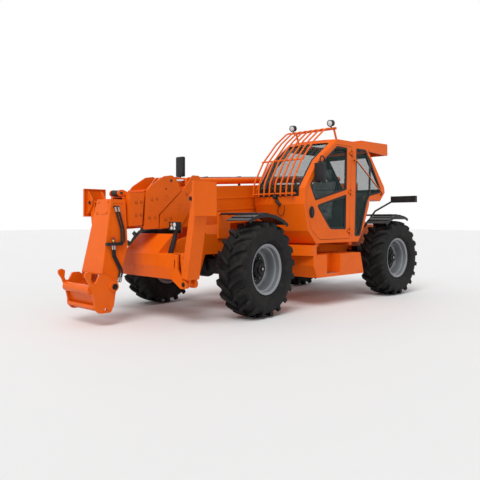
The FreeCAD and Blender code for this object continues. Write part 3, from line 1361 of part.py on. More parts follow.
def side_boxes():
    """Left-hand step box, tank and the slanted panel ahead of the rear wheel."""
    lower = plate_xz([(box_front, 610.0), (box_front, box_top), (box_rear + 88, box_top),
                      (box_rear, box_bottom),
                      (box_front - 80, box_bottom)], box_y0, box_y1)
    length = box_front - box_rear
    step = box(box_front - length * 0.51, box_front - length * 0.248, box_y1 - 190, box_y1 + 1, 480,
               box_top + 1)
    upper = box(box_front - 70, box_front + 185, box_y0 + 30, box_y1, box_top - 5, 902)
    slant = plate_xy([(box_front + 190, box_y1 + 1), (box_front + 190, 760),
                      (box_front + 30, box_y1 + 1)], 700, 1000)
    tower = plate_xz([(0, box_bottom), (-201, 1180), (-251, 1560), (-296, 1560), (-161, 1190),
                      (49, 880), (244, 880), (244, box_bottom)], box_y0 + 60, box_y1 - 30)
    under = plate_xz([(-266, 1600), (-106, 1150), (94, 860), (294, 860), (294, 1600)], box_y0, 1045.0)
    pieces = [lower.cut(step), upper.cut(slant), moved(tower.cut(under), box_rear)]
    for x in (box_front - 120.0, box_rear + 344.0):
        pieces.append(box(x - 60, x + 60, frame_half + seat_gap, box_y0 + 1, 560, 640))
    return joined(pieces)


def engine_pod():
    lower = box(pod_x0, pod_x1, pod_y0, pod_y1, pod_bottom, pod_top)
    hollow = box(pod_x0 + pod_wall, pod_x1 - pod_wall, pod_y0 + pod_wall, pod_y1 - pod_wall,
                 pod_bottom + pod_wall, pod_top + 1)
    tub = lower.cut(hollow)
    mounts = [plate_xz([(pod_x0 + 40, pod_top - 1), (pod_x1 - 40, pod_top - 1), (pod_x1 - 110, 1200, 60),
                        (pod_x1 - 350, hood_top - 36, 180), (pod_x0 + 90, hood_top - 36, 50)],
                       pod_y1 - hood_wall, pod_y1)]
    for x in hood_hinge_x:
        for low, high in ((x - 38, x - 23), (x + 23, x + 38)):
            mounts.append(plate_yz([(pod_y1 - 2, hood_top - 90), (pod_y1 - 2, hood_top - 30),
                                    (hood_hinge_y - 14, hood_hinge_z + 14, 12),
                                    (hood_hinge_y + 15, hood_hinge_z + 14, 13),
                                    (hood_hinge_y + 15, hood_hinge_z - 30)], low, high))
        mounts.append(rod_x(hood_hinge_y, hood_hinge_z, x - 38, x + 38, hood_pin_radius))
    for x in (pod_x1 - 320.0, pod_x0 + 320.0):
        mounts.append(box(x - 60, x + 60, pod_y1 - 1, -frame_half - seat_gap, 560, 640))
    return joined([tub] + mounts)


def engine_block():
    return box(pod_x0 + 240, pod_x1 - 350, pod_y0 + 120, pod_y1 - 90, pod_bottom + pod_wall + seat_gap,
               1180)


def engine_hood():
    skin = plate_xz([(pod_x0, pod_top + 6), (pod_x1, pod_top + 6), (pod_x1 - 40, 1230, 80),
                     (pod_x1 - 320, hood_top, 200),
                     (pod_x0 + 40, hood_top, 60)], pod_y0, pod_y1)
    core = plate_xz([(pod_x0 + hood_wall, pod_top), (pod_x1 - hood_wall, pod_top),
                     (pod_x1 - 40 - hood_wall, 1230 - hood_wall, 60),
                     (pod_x1 - 320, hood_top - hood_wall, 180),
                     (pod_x0 + 40 + hood_wall, hood_top - hood_wall, 50)],
                    pod_y0 + hood_wall, pod_y1 + 1.0)
    slots = []
    for row in range(5):
        z = 1060.0 + row * 52.0
        slots.append(box(pod_x0 + 470, pod_x1 - 520, pod_y0 - 1, pod_y0 + hood_wall + 1, z, z + 26.0))
    shell = skin.cut(core).cut(slots)
    for x in hood_hinge_x:
        notch = box(x - 42, x + 42, pod_y1 - 28, pod_y1 + 1, hood_top - 40, hood_top + 1)
        tab = box(x - 20, x + 20, pod_y1 - 34, hood_hinge_y, hood_top - 24, hood_top - 2)
        eye = rod_x(hood_hinge_y, hood_hinge_z, x - 20, x + 20, 15.0)
        bore = rod_x(hood_hinge_y, hood_hinge_z, x - 21, x + 21, hood_pin_radius + pin_fit)
        shell = joined([shell.cut(notch), tab, eye]).cut(bore)
    return shell


def counterweight():
    block = plate_xz([(frame_rear_x - seat_gap, weight_low), (rear_reach + 20.0, weight_low, 10),
                      (rear_reach, 760.0, 60),
                      (rear_reach, 1120.0, 80), (frame_rear_x - seat_gap, 1160.0)], -520.0, 520.0)
    hitch = rod_z((frame_rear_x + rear_reach) / 2.0, 0, 600.0, 1200.0, hitch_radius)
    pocket = box(rear_reach - 1, rear_reach + 110.0, -90, 90, hitch_pocket_low, hitch_pocket_high)
    notch = box(rear_reach - 1, rear_reach + 110.0, -60, 60, hitch_top, 1200.0)
    return block.cut([hitch, pocket, notch])


def exhaust():
    """Upright silencer and tailpipe behind the engine pod, on a bracket to it."""
    x = pod_x0 - 75.0
    y = pod_y1 - 200.0
    bracket = box(pod_x0 - 60.0, pod_x0 - seat_gap, y - 30.0, y + 30.0, 850.0, 900.0)
    return joined([rod_z(x, y, 800.0, 1480.0, 62.0), rod_z(x, y, 1470.0, 1760.0, 32.0), bracket])


def drive_line():
    box_gear = box(-1500, -1000, -220, 220, frame_bottom + frame_plate + seat_gap, 730)
    flange_gap = 360.0
    front = rod_x(0, axle_height, -1000.0 + seat_gap, -flange_gap, 42.0)
    rear = rod_x(0, axle_height, -wheelbase + flange_gap, -1500.0 - seat_gap, 42.0)
    return Part.makeCompound([box_gear, front, rear])


# Fenders, lamps and mirrors

def fender(x, front_deg, rear_deg, foot_z):
    """Left-hand arc fender about a wheel, with its side lip, ribs and bracket to the chassis."""
    def at(radius, degrees):
        angle = math.radians(degrees)
        return V(x + radius * math.sin(angle), 0, axle_height + radius * math.cos(angle))

    def arc_plate(r0, r1, y0, y1):
        middle = (front_deg - rear_deg) / 2.0
        edges = [Part.Arc(at(r1, front_deg), at(r1, middle), at(r1, -rear_deg)).toShape(),
                 Part.LineSegment(at(r1, -rear_deg), at(r0, -rear_deg)).toShape(),
                 Part.Arc(at(r0, -rear_deg), at(r0, middle), at(r0, front_deg)).toShape(),
                 Part.LineSegment(at(r0, front_deg), at(r1, front_deg)).toShape()]
        face = Part.Face(Part.Wire(edges))
        face.translate(V(0, y0, 0))
        return face.extrude(V(0, y1 - y0, 0))

    crown = fender_radius + fender_thick
    pieces = [arc_plate(fender_radius, crown, fender_y0, fender_y1),
              arc_plate(fender_radius - fender_lip, crown, fender_y1 - 8.0, fender_y1)]
    for i in range(fender_ribs):
        degrees = 8.0 - rear_deg + i * (front_deg + rear_deg - 16.0) / (fender_ribs - 1)
        mid = at(crown + 3.0, degrees)
        rib = box(-14, 14, fender_y0 + 20, fender_y1 - 20, -7, 7)
        pieces.append(moved(turned(rib, ALONG_Y, degrees), mid.x, 0, mid.z))
    arm_z = axle_height + crown + 12.0
    for step in (-90.0, 90.0):
        pieces.append(rod_y(x + step, arm_z - 9.0, frame_half + 20.0, fender_y1 - 100.0, 15.0))
    pieces.append(box(x - 110, x + 110, frame_half + seat_gap, frame_half + 24.0, foot_z - 60,
                      arm_z + 10.0))
    return joined(pieces)


def fenders():
    pieces = []
    # columns: x of the axle, degrees ahead, degrees behind, height of the bracket's foot
    table = ((0.0, 28.0, 36.0, frame_front_top), (-wheelbase, 36.0, 24.0, 1120.0))
    for x, ahead, behind, foot_z in table:
        left = fender(x, ahead, behind, foot_z)
        pieces += [left, mirrored(left, -1)]
    return Part.makeCompound(pieces)


def lamps():
    """Work lamps on the screen guard, indicator lamps on the bridge and the rear lamp bars."""
    pieces = []
    for y in (guard_far, guard_near):
        lens = rod(V(-1735.0, y, 2742.0), V(-1672.0, y, 2730.0), 48.0)
        stem = rod_z(-1703.0, y, 2670.2, 2700.0, 12.0)
        pieces.append(moved(joined([lens, stem]), cab_shift))
    for side in (1, -1):
        arm = plate_yz([(480, bridge_z1 + seat_gap), (560, bridge_z1 + seat_gap), (660, 1150, 20),
                        (620, 1170, 20)], 1010, 1036)
        head = box(1000, 1075, 560, 700, 1140, 1240)
        pieces.append(mirrored(joined([arm, head]), side))
        tube = bent_tube([(-200.0, frame_half + seat_gap + 16.0, 1150.0), (-340.0, 520.0, 1420.0),
                          (-625.0, 700.0, 1600.0), (-625.0, 900.0, 1630.0)], 16.0, 60.0)
        foot = rod_y(-200.0, 1150.0, frame_half + seat_gap, frame_half + 14.0, 26.0)
        bar = box(-660, -590, 690, 1175, 1575, 1690)
        pieces.append(moved(mirrored(joined([foot, tube, bar]), side), -wheelbase))
    return Part.makeCompound(pieces)


def mirror_left():
    """Mirror on a bent arm from the top front corner of the door."""
    head = box(-1160, -1095, 1110, 1272, 1810, 2080)
    arm = bent_tube([(-1266.0, cab_y1 + seat_gap, 2078.0), (-1266.0, 1190.0, 2078.0),
                     (-1200.0, 1190.0, 2190.0),
                     (-1128.0, 1190.0, 2150.0), (-1128.0, 1190.0, 2040.0)], 10.0, 22.0)
    foot = rod_y(-1266.0, 2078.0, cab_y1 + seat_gap, cab_y1 + 8.0, 16.0)
    return joined([head, arm, foot])


def mirror_right():
    """Mirror on a stalk from the front of the engine pod."""
    head = box(380, 445, -1160, -990, 1960, 2280)
    stalk = bent_tube([(seat_gap, -1080.0, pod_top - 60.0), (90.0, -1080.0, pod_top - 60.0),
                       (190.0, -1080.0, 1500.0), (412.0, -1080.0, 1800.0), (412.0, -1080.0, 2000.0)],
                      14.0, 50.0)
    return moved(joined([head, stalk]), pod_x1)


# Build and save

def build():
    parts = {}
    parts["chassis_frame"] = chassis_frame()
    parts["front_bridge"] = front_bridge()
    parts["front_axle"] = moved(axle(-1), 0, 0, axle_height)
    parts["rear_axle"] = moved(axle(1), -wheelbase, 0, axle_height)
    # columns: name, x of the axle, side, steering angle at rest
    corners = (
        ("front_left", 0.0, 1, front_steer_rest),
        ("front_right", 0.0, -1, front_steer_rest),
        ("rear_left", -wheelbase, 1, rear_steer_rest),
        ("rear_right", -wheelbase, -1, rear_steer_rest))
    wheel_pieces = (("tyre_", tyre()), ("rim_", rim()), ("hub_", hub()), ("knuckle_", knuckle()))
    for name, x, side, steer in corners:
        for kind, shape in wheel_pieces:
            parts[kind + name] = at_wheel(shape, x, side, steer)
    parts["boom_outer"] = boom_outer()
    parts["boom_second"] = boom_second()
    parts["boom_third"] = boom_third()
    parts["hose_pulley"] = hose_pulley()
    parts["boom_nose"] = boom_nose()
    parts["nose_hoses"] = nose_hoses()
    parts["boom_hoses"] = boom_hoses()
    parts["carriage"] = carriage()
    parts["extend_barrel"], parts["extend_rod"] = extend_cylinder()
    parts["lift_barrel"], parts["lift_rod"] = lift_cylinder()
    parts["tilt_barrel"], parts["tilt_rod"] = tilt_cylinder()
    for name, side in (("left", 1), ("right", -1)):
        parts["stabiliser_arm_" + name] = stabiliser_arm(side)
        parts["stabiliser_foot_" + name] = stabiliser_foot(side)
        parts["leg_barrel_" + name], parts["leg_rod_" + name] = leg_cylinder(side)
    cab = {"cab_shell": cab_shell(), "cab_glass": cab_glass(), "cab_door": cab_door(),
           "door_glass": door_glass(),
           "screen_guard": screen_guard(), "seat": seat(), "cab_controls": cab_controls(),
           "mirror_left": mirror_left()}
    for name, shape in cab.items():
        parts[name] = moved(shape, cab_shift)
    parts["side_boxes"] = side_boxes()
    parts["engine_pod"] = engine_pod()
    parts["engine_block"] = engine_block()
    parts["engine_hood"] = engine_hood()
    parts["counterweight"] = counterweight()
    parts["exhaust"] = exhaust()
    parts["drive_line"] = drive_line()
    parts["fenders"] = fenders()
    parts["lamps"] = lamps()
    parts["mirror_right"] = mirror_right()
    return parts


os.makedirs("parts", exist_ok=True)
whole = FreeCAD.BoundBox()
for node, shape in build().items():
    placed = moved(shape, row_shift, 0, body_lift)
    placed.exportStep("parts/" + node + ".step")
    whole.add(placed.BoundBox)
    print(node, len(placed.Solids), placed.isValid(), round(placed.Volume / 1e9, 5))
print("box", [round(v, 2) for v in (whole.XMin, whole.XMax, whole.YMin, whole.YMax, whole.ZMin,
                                    whole.ZMax)])
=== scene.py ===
"""Looks of the telehandler: paint, rubber, glass, the driver's seat, fasteners, trim and the studio."""
import json
import math

import bpy
from bpy.props import FloatProperty, FloatVectorProperty, IntProperty, PointerProperty
from mathutils import Matrix, Vector


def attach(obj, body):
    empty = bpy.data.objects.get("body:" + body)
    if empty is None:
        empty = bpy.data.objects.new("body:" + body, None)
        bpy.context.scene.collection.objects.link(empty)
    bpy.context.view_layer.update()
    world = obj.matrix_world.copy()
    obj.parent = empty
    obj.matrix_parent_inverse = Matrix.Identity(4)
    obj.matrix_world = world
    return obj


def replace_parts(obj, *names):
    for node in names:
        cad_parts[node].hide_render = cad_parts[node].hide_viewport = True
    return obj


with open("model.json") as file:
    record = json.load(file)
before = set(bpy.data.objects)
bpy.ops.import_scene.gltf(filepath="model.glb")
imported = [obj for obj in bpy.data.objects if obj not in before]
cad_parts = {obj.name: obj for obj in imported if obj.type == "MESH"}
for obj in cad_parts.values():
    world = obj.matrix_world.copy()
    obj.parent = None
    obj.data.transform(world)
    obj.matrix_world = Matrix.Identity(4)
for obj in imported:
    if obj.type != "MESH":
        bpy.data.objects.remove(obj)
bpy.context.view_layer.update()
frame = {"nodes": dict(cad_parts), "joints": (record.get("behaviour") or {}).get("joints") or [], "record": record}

bl_info = {
    "name": "Telehandler looks",
    "version": (1, 0, 0),
    "blender": (4, 5, 0),
    "location": "View3D > Sidebar > Telehandler",
    "description": "Paints and dresses the packed telehandler and sets up its studio",
    "category": "Object",
}

NODES = frame["nodes"]
JOINTS = {joint["name"]: joint for joint in frame["joints"]}
CAB_MIDDLE = Vector((-0.775, 0.612, 1.650))
WHEELS = ("front_left", "front_right", "rear_left", "rear_right")


# Sizes and colours

def length(name, description, default, least=0.0):
    return FloatProperty(
        name=name, description=description, subtype="DISTANCE", unit="LENGTH", default=default, min=least)


def tone(name, description, default):
    return FloatVectorProperty(
        name=name, description=description, subtype="COLOR", default=default, min=0, max=1)


class SizeSettings(bpy.types.PropertyGroup):
    """Sizes of the repeated small pieces."""
    bolt: length("Bolt", "Half width of a bolt head", 0.013, 0.002)
    lugs: IntProperty(name="Lugs", description="Tread lugs on each half of a tyre", default=20, min=8)
    lug_edge: length("Lug edge", "Rounding of the tread lugs", 0.005)
    wheel_nuts: IntProperty(name="Wheel nuts", description="Nuts on each wheel", default=10, min=4)
    wheel_nut: length("Wheel nut", "Half width of a wheel nut", 0.013, 0.002)
    seal: length("Seal", "Width of the window seals", 0.03, 0.004)


class PaintSettings(bpy.types.PropertyGroup):
    """Colours of the machine's finishes."""
    orange: tone("Orange", "Body paint", (0.78, 0.122, 0.004))
    rim_grey: tone("Rim grey", "Paint of the wheel rims", (0.25, 0.26, 0.28))
    rubber: tone("Rubber", "Tyre rubber", (0.009, 0.009, 0.010))
    dust: tone("Dust", "Dry dust low on the machine", (0.30, 0.26, 0.21))
    glass_tint: tone("Glass tint", "Tint of the cab glass", (0.010, 0.038, 0.031))
    dust_height: length("Dust height", "Height that road dust reaches", 0.7)


class StudioSettings(bpy.types.PropertyGroup):
    """Camera, light and floor."""
    camera_place: FloatVectorProperty(
        name="Camera place", description="Where the camera stands", subtype="TRANSLATION", unit="LENGTH",
        default=(6.4991, 6.1706, 1.2711))
    heading: FloatProperty(
        name="Heading", description="Direction of view about the vertical", subtype="ANGLE", default=3.9304)
    rise: FloatProperty(name="Rise", description="Upward tilt of the view", subtype="ANGLE", default=0.0103)
    lens: FloatProperty(
        name="Lens", description="Focal length on a 36 mm sensor, in millimetres", default=43.004, min=1)
    shift: FloatProperty(name="Shift", description="Vertical lens shift", default=-0.0552)
    sun_strength: FloatProperty(name="Sun", description="Strength of the soft key light", default=2.15, min=0)
    sky_strength: FloatProperty(name="Sky", description="Strength of the light all round", default=0.55, min=0)
    floor_grey: FloatProperty(name="Floor", description="Grey of the floor", default=0.80, min=0, max=1)


# Shader tools

def maths(operation, swapped=False):
    """Operator of Channel that joins it with another value in a maths node."""
    def join(channel, other):
        first, second = (other, channel) if swapped else (channel, other)
        return channel.shader.make("ShaderNodeMath", {"operation": operation}, {0: first, 1: second})
    return join


class Channel:
    """A shader value that joins in Python arithmetic."""

    def __init__(self, shader, socket):
        self.shader = shader
        self.socket = socket

    __add__, __radd__ = maths("ADD"), maths("ADD", True)
    __sub__, __rsub__ = maths("SUBTRACT"), maths("SUBTRACT", True)
    __mul__, __rmul__ = maths("MULTIPLY"), maths("MULTIPLY", True)
    __gt__, __lt__ = maths("GREATER_THAN"), maths("LESS_THAN")

    def between(self, low, high):
        """0 below low, 1 above high and smooth between them."""
        return self.shader.make("ShaderNodeMapRange", {"interpolation_type": "SMOOTHSTEP"},
                                {0: self, 1: low, 2: high, 3: 0.0, 4: 1.0})

    def wave(self):
        return self.shader.make("ShaderNodeMath", {"operation": "SINE"}, {0: self})


class Finish:
    """A procedural material under construction."""

    def __init__(self, name, **plain):
        self.material = bpy.data.materials.new(name)
        self.material.use_nodes = True
        self.nodes = self.material.node_tree.nodes
        self.surface = self.nodes["Principled BSDF"]
        self.coordinates = self.nodes.new("ShaderNodeTexCoord").outputs["Object"]
        for key, value in plain.items():
            self.surface.inputs[key.replace("_", " ").title().replace("Ior", "IOR")].default_value = value

    def feed(self, socket, value):
        if isinstance(value, Channel):
            value = value.socket
        if isinstance(value, bpy.types.NodeSocket):
            self.material.node_tree.links.new(value, socket)
        else:
            socket.default_value = value

    def make(self, kind, settings, values, output=0):
        """Any node: its settings, then the values or links of its inputs by number."""
        node = self.nodes.new(kind)
        for name, value in settings.items():
            setattr(node, name, value)
        for number, value in values.items():
            self.feed(node.inputs[number], value)
        return Channel(self, node.outputs[output])

    def place(self, scale):
        return self.make("ShaderNodeMapping", {}, {0: self.coordinates, 3: scale})

    def height(self, axis=2):
        """Distance along X, Y or Z: 0, 1 or 2."""
        return self.make("ShaderNodeSeparateXYZ", {}, {0: self.coordinates}, axis)

    def edges(self, radius):
        """1 along sharp edges, 0 on flat faces."""
        soft = self.make("ShaderNodeBevel", {"samples": 4}, {0: radius})
        plain = self.make("ShaderNodeNewGeometry", {}, {}, 1)
        same = self.make("ShaderNodeVectorMath", {"operation": "DOT_PRODUCT"}, {0: soft, 1: plain}, 1)
        return (1.0 - same).between(0.01, 0.12)

    def noise(self, scale, detail=3.0, rough=0.5, stretch=(1, 1, 1)):
        return self.make("ShaderNodeTexNoise", {}, {0: self.place(stretch), 2: scale, 3: detail, 4: rough})

    def cells(self, scale):
        return self.make("ShaderNodeTexVoronoi", {}, {0: self.place((1, 1, 1)), 2: scale})

    def mix(self, share, first, second):
        return self.make("ShaderNodeMix", {"data_type": "RGBA"}, {0: share, 6: colour(first), 7: colour(second)}, 2)

    def colour(self, value):
        self.feed(self.surface.inputs["Base Color"], colour(value))

    def roughness(self, value):
        self.feed(self.surface.inputs["Roughness"], value)

    def bump(self, height, strength, distance, round_edges=0.0):
        values = {0: strength, 1: distance, 3: height}
        if round_edges:
            values[4] = self.make("ShaderNodeBevel", {"samples": 4}, {0: round_edges})
        self.feed(self.surface.inputs["Normal"], self.make("ShaderNodeBump", {}, values))


def colour(value):
    return value if isinstance(value, Channel) else (*value[:3], 1.0)


def shade(rgb, factor):
    return tuple(min(1.0, part * factor) for part in rgb)


# Finishes

LENS_FLUTES = 420.0
RIM_DISC_SQUARED = 0.0475
# black of the rim disc: painted shade deep inside the rim
DISC_PAINTED_SHADE = (0.012, 0.012, 0.013)
FENDER_SQUARED = 0.185
FENDER_BLACK = (0.020, 0.020, 0.022)
CAB_DARK = (0.022, 0.024, 0.024)
CAB_SILL, CAB_CEILING = 0.93, 2.44
VISOR_BEHIND, VISOR_ABOVE = -1.405, 2.33
# pale orange for the edges: partly paint wear, partly a painted highlight along the edges
EDGE_WEAR_AND_HIGHLIGHT_ORANGE = (0.90, 0.32, 0.10)


def painted(name, paint, elsewhere=None, inner=0.0):
    """Body paint with soft edges, a pale orange on them that is partly wear and partly a painted highlight, and dust
    low down; inner is the share of another colour.
    """
    finish = Finish(name, specular_ior_level=0.13, coat_weight=0.03, coat_roughness=0.15)
    broad = finish.noise(1.7, 4.0, 0.6).between(0.35, 0.7)
    fine = finish.noise(38.0, 3.0, 0.6)
    base = finish.mix(broad, shade(paint.orange, 0.94), shade(paint.orange, 1.04))
    low = 1.0 - finish.height().between(0.1, paint.dust_height)
    dust = low * fine.between(0.48, 0.78) * 0.12
    # pale orange on the edges: partly chipped paint, partly a painted edge highlight
    wear = finish.edges(0.006) * finish.noise(11.0, 4.0, 0.7).between(0.45, 0.75)
    worn_and_highlit = finish.mix(wear * 0.45, finish.mix(dust, base, paint.dust), EDGE_WEAR_AND_HIGHLIGHT_ORANGE)
    if elsewhere:
        worn_and_highlit = finish.mix(elsewhere(finish), worn_and_highlit, inner)
    finish.colour(worn_and_highlit)
    finish.roughness(0.26 + broad * 0.1 + dust * 0.4)
    finish.bump(finish.noise(220.0, 2.0, 0.5), 0.12, 0.001, 0.005)
    return finish.material


def orange_paint(paint):
    return painted("orange_paint", paint)


def cab_paint(paint):
    """Orange outside, dark on the faces that look into the cab."""
    def inside(finish):
        to_middle = finish.make("ShaderNodeVectorMath", {"operation": "SUBTRACT"},
                                {0: CAB_MIDDLE, 1: finish.coordinates})
        normal = finish.make("ShaderNodeTexCoord", {}, {}, 1)
        facing_in = finish.make("ShaderNodeVectorMath", {"operation": "DOT_PRODUCT"}, {0: to_middle, 1: normal}, 1)
        visor = (finish.height(0) < VISOR_BEHIND) * (finish.height() > VISOR_ABOVE)
        within = (finish.height() > CAB_SILL) * (finish.height() < CAB_CEILING)
        return (facing_in > 0.02) * within * (1.0 - visor)
    return painted("cab_paint", paint, inside, CAB_DARK)


def rim_paint(paint, corner):
    """Silver-grey rim whose disc, measured from the wheel's own axis, is painted black as the shade deep inside the
    rim.
    """
    joint = JOINTS["spin_" + corner]
    turn = math.atan2(-joint["axis"][0], joint["axis"][1])
    finish = Finish("rim_paint_" + corner, metallic=0.35)
    on_wheel = finish.make("ShaderNodeMapping", {"vector_type": "TEXTURE"},
                           {0: finish.coordinates, 1: joint["pos_m"], 2: (0, 0, turn)})
    across, up = (finish.make("ShaderNodeSeparateXYZ", {}, {0: on_wheel}, axis) for axis in (0, 2))
    disc = (across * across + up * up) < RIM_DISC_SQUARED
    grime = finish.noise(9.0, 4.0, 0.65).between(0.5, 0.75)
    ring = finish.mix(grime * 0.3, paint.rim_grey, shade(paint.dust, 0.5))
    # disc painted black for the shade deep inside the rim
    finish.colour(finish.mix(disc, ring, DISC_PAINTED_SHADE))
    finish.roughness(0.34 + grime * 0.25)
    finish.bump(finish.noise(160.0), 0.08, 0.001, 0.004)
    return finish.material


def tyre_rubber(paint):
    finish = Finish("tyre_rubber", specular_ior_level=0.13)
    grime = finish.noise(7.0, 5.0, 0.65).between(0.42, 0.72)
    scuff = finish.noise(60.0, 3.0, 0.7).between(0.5, 0.8)
    finish.colour(finish.mix(grime * 0.22 + scuff * 0.1, paint.rubber, shade(paint.dust, 0.35)))
    finish.roughness(0.62 + grime * 0.25)
    finish.bump(finish.noise(140.0, 4.0, 0.7), 0.35, 0.002)
    return finish.material


def fender_plastic(paint):
    """Black fenders on brackets in body paint."""
    def outboard(finish):
        across = finish.height(1)
        return (across * across) > FENDER_SQUARED
    return painted("fender_plastic", paint, outboard, FENDER_BLACK)


def cast_metal(paint):
    finish = Finish("cast_metal", metallic=0.2, specular_ior_level=0.15)
    grime = finish.noise(14.0, 4.0, 0.6).between(0.45, 0.75)
    finish.colour(finish.mix(grime * 0.5, (0.012, 0.012, 0.013), shade(paint.dust, 0.22)))
    finish.roughness(0.42 + grime * 0.3)
    finish.bump(finish.noise(190.0, 4.0, 0.7), 0.3, 0.0015)
    return finish.material


def cab_glass(paint):
    finish = Finish("cab_glass", specular_ior_level=0.25, alpha=0.24)
    film = finish.noise(5.0, 3.0, 0.5).between(0.4, 0.8)
    finish.colour(finish.mix(film, paint.glass_tint, shade(paint.glass_tint, 1.3)))
    finish.roughness(0.02 + film * 0.03)
    finish.material.surface_render_method = "BLENDED"
    return finish.material


def seat_vinyl(paint):
    finish = Finish("seat_vinyl", specular_ior_level=0.45)
    wear = finish.noise(9.0, 4.0, 0.6).between(0.4, 0.75)
    finish.colour(finish.mix(wear, (0.15, 0.165, 0.18), (0.24, 0.255, 0.27)))
    finish.roughness(0.45 + wear * 0.15)
    finish.bump(finish.cells(260.0) * 0.7 + finish.noise(40.0) * 0.3, 0.35, 0.001)
    return finish.material


def lamp_lens(paint):
    finish = Finish("lamp_lens", specular_ior_level=0.7, coat_weight=0.6)
    flutes = (finish.height(1) * LENS_FLUTES).wave()
    finish.colour(finish.mix(finish.noise(25.0), (0.55, 0.57, 0.58), (0.72, 0.74, 0.75)))
    finish.roughness(0.12 + flutes * 0.02)
    finish.bump(flutes, 0.25, 0.001)
    return finish.material


# shader settings, pattern, span that sharpens it, its two colours, roughness and how much the pattern adds,
# pattern of the bump with its strength and depth
PLAIN_FINISH = {
    "black_plastic": ({"specular_ior_level": 0.25}, ("noise", 4.0, 3.0, 0.5), (0.4, 0.75), (0.014, 0.014, 0.015),
                      (0.024, 0.024, 0.026), (0.5, 0.12), ("cells", 420.0), (0.2, 0.0008)),
    "dark_paint": ({"specular_ior_level": 0.25}, ("noise", 6.0, 3.0, 0.6), None, (0.022, 0.023, 0.025),
                   (0.034, 0.035, 0.037), (0.36, 0.15), ("noise", 240.0), (0.12, 0.001)),
    "chrome": ({"metallic": 1.0}, ("noise", 30.0, 3.0, 0.6, (1, 1, 6)), None, (0.58, 0.58, 0.57),
               (0.66, 0.66, 0.65), (0.1, 0.1), None, None),
    "red_lens": ({"specular_ior_level": 0.6, "coat_weight": 0.4}, ("cells", 180.0), None, (0.34, 0.010, 0.008),
                 (0.20, 0.006, 0.005), (0.14, 0.08), ("cells", 180.0), (0.2, 0.001)),
    "amber_lens": ({"specular_ior_level": 0.6, "coat_weight": 0.4}, ("cells", 180.0), None, (0.62, 0.19, 0.010),
                   (0.42, 0.12, 0.006), (0.14, 0.08), ("cells", 180.0), (0.2, 0.001)),
    "bright_steel": ({"metallic": 1.0}, ("noise", 35.0, 4.0, 0.6), (0.45, 0.75), (0.46, 0.46, 0.45),
                     (0.30, 0.28, 0.26), (0.28, 0.22), ("noise", 300.0, 2.0, 0.5), (0.1, 0.0005)),
    "dark_steel": ({"metallic": 0.7}, ("noise", 22.0, 4.0, 0.7), (0.4, 0.7), (0.10, 0.095, 0.09),
                   (0.03, 0.028, 0.027), (0.42, 0.3), ("noise", 180.0), (0.2, 0.0008)),
    "brass": ({"metallic": 1.0}, ("noise", 40.0, 3.0, 0.6), (0.4, 0.75), (0.62, 0.44, 0.17),
              (0.36, 0.25, 0.11), (0.26, 0.2), None, None),
    "red_handle": ({"coat_weight": 0.2}, ("noise", 45.0, 3.0, 0.6), (0.5, 0.8), (0.45, 0.012, 0.010),
                   (0.27, 0.012, 0.010), (0.34, 0.2), ("noise", 200.0), (0.1, 0.0006)),
    "mirror_face": ({"metallic": 1.0}, ("noise", 12.0, 2.0, 0.5), None, (0.72, 0.74, 0.75),
                    (0.66, 0.68, 0.69), (0.03, 0.03), None, None)}


def plain_finish(name):
    surface, pattern, span, first, second, rough, grain, relief = PLAIN_FINISH[name]
    finish = Finish(name, **surface)
    share = getattr(finish, pattern[0])(*pattern[1:])
    if span:
        share = share.between(*span)
    finish.colour(finish.mix(share, first, second))
    finish.roughness(rough[0] + share * rough[1])
    if grain:
        finish.bump(getattr(finish, grain[0])(*grain[1:]), *relief)
    return finish.material


FINISHES = {}
OWN_FINISH = {make.__name__: make for make in (
    orange_paint, cab_paint, fender_plastic, tyre_rubber, cast_metal, cab_glass, seat_vinyl, lamp_lens)}
SLOT_FINISH = {"grey_paint": "dark_paint", "black_paint": "dark_paint", "tinted_glass": "cab_glass",
               "chrome_rod": "chrome", "seat_fabric": "seat_vinyl"}
NODE_FINISH = {"cab_shell": "cab_paint", "cab_door": "cab_paint", "fenders": "fender_plastic"}


def finish_for(slot):
    if slot not in FINISHES:
        name = SLOT_FINISH.get(slot, slot)
        own = OWN_FINISH.get(name)
        FINISHES[slot] = own(bpy.context.scene.handler_paint) if own else plain_finish(name)
    return FINISHES[slot]


def dress(thing, material):
    thing.data.materials.clear()
    thing.data.materials.append(material)


class HANDLER_OT_paint(bpy.types.Operator):
    """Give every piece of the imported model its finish"""
    bl_idname = "handler.paint"
    bl_label = "Paint the model"

    def execute(self, context):
        for entry in frame["record"]["subparts"]:
            node = entry["node"]
            if node.startswith("rim_"):
                material = rim_paint(context.scene.handler_paint, node.removeprefix("rim_"))
            else:
                material = finish_for(NODE_FINISH.get(node, entry["material_slot"]))
            dress(NODES[node], material)
        return {"FINISHED"}


# Places

MM = 0.001
FRONT_AXLE = 1.075
BOOM_PIVOT = Vector(JOINTS["boom_lift"]["pos_m"])
ALONG_BOOM = Vector(JOINTS["boom_extend"]["axis"])
UP_BOOM = Vector((-ALONG_BOOM.z, 0, ALONG_BOOM.x))
BOOM_Y = -110.0
SIDES = (("left", 1), ("right", -1))


def spot(x, y, z):
    """Place from millimetres ahead of the front axle, left of the middle and above the ground."""
    return Vector((x * MM + FRONT_AXLE, y * MM, z * MM))


def spots(*places):
    return [spot(*place) for place in places]


def on_boom(s, t, y):
    """Place from millimetres along the boom, above its middle and left of it."""
    return BOOM_PIVOT + ALONG_BOOM * (s * MM) + UP_BOOM * (t * MM) + Vector((0, y * MM, 0))


def beside_nose(x, z, off):
    """Place that stands off the left side of the nose column, in millimetres."""
    return spot(x, BOOM_Y + 160.0 + 80.0 * (1524.0 - z) / 924.0 + off, z)


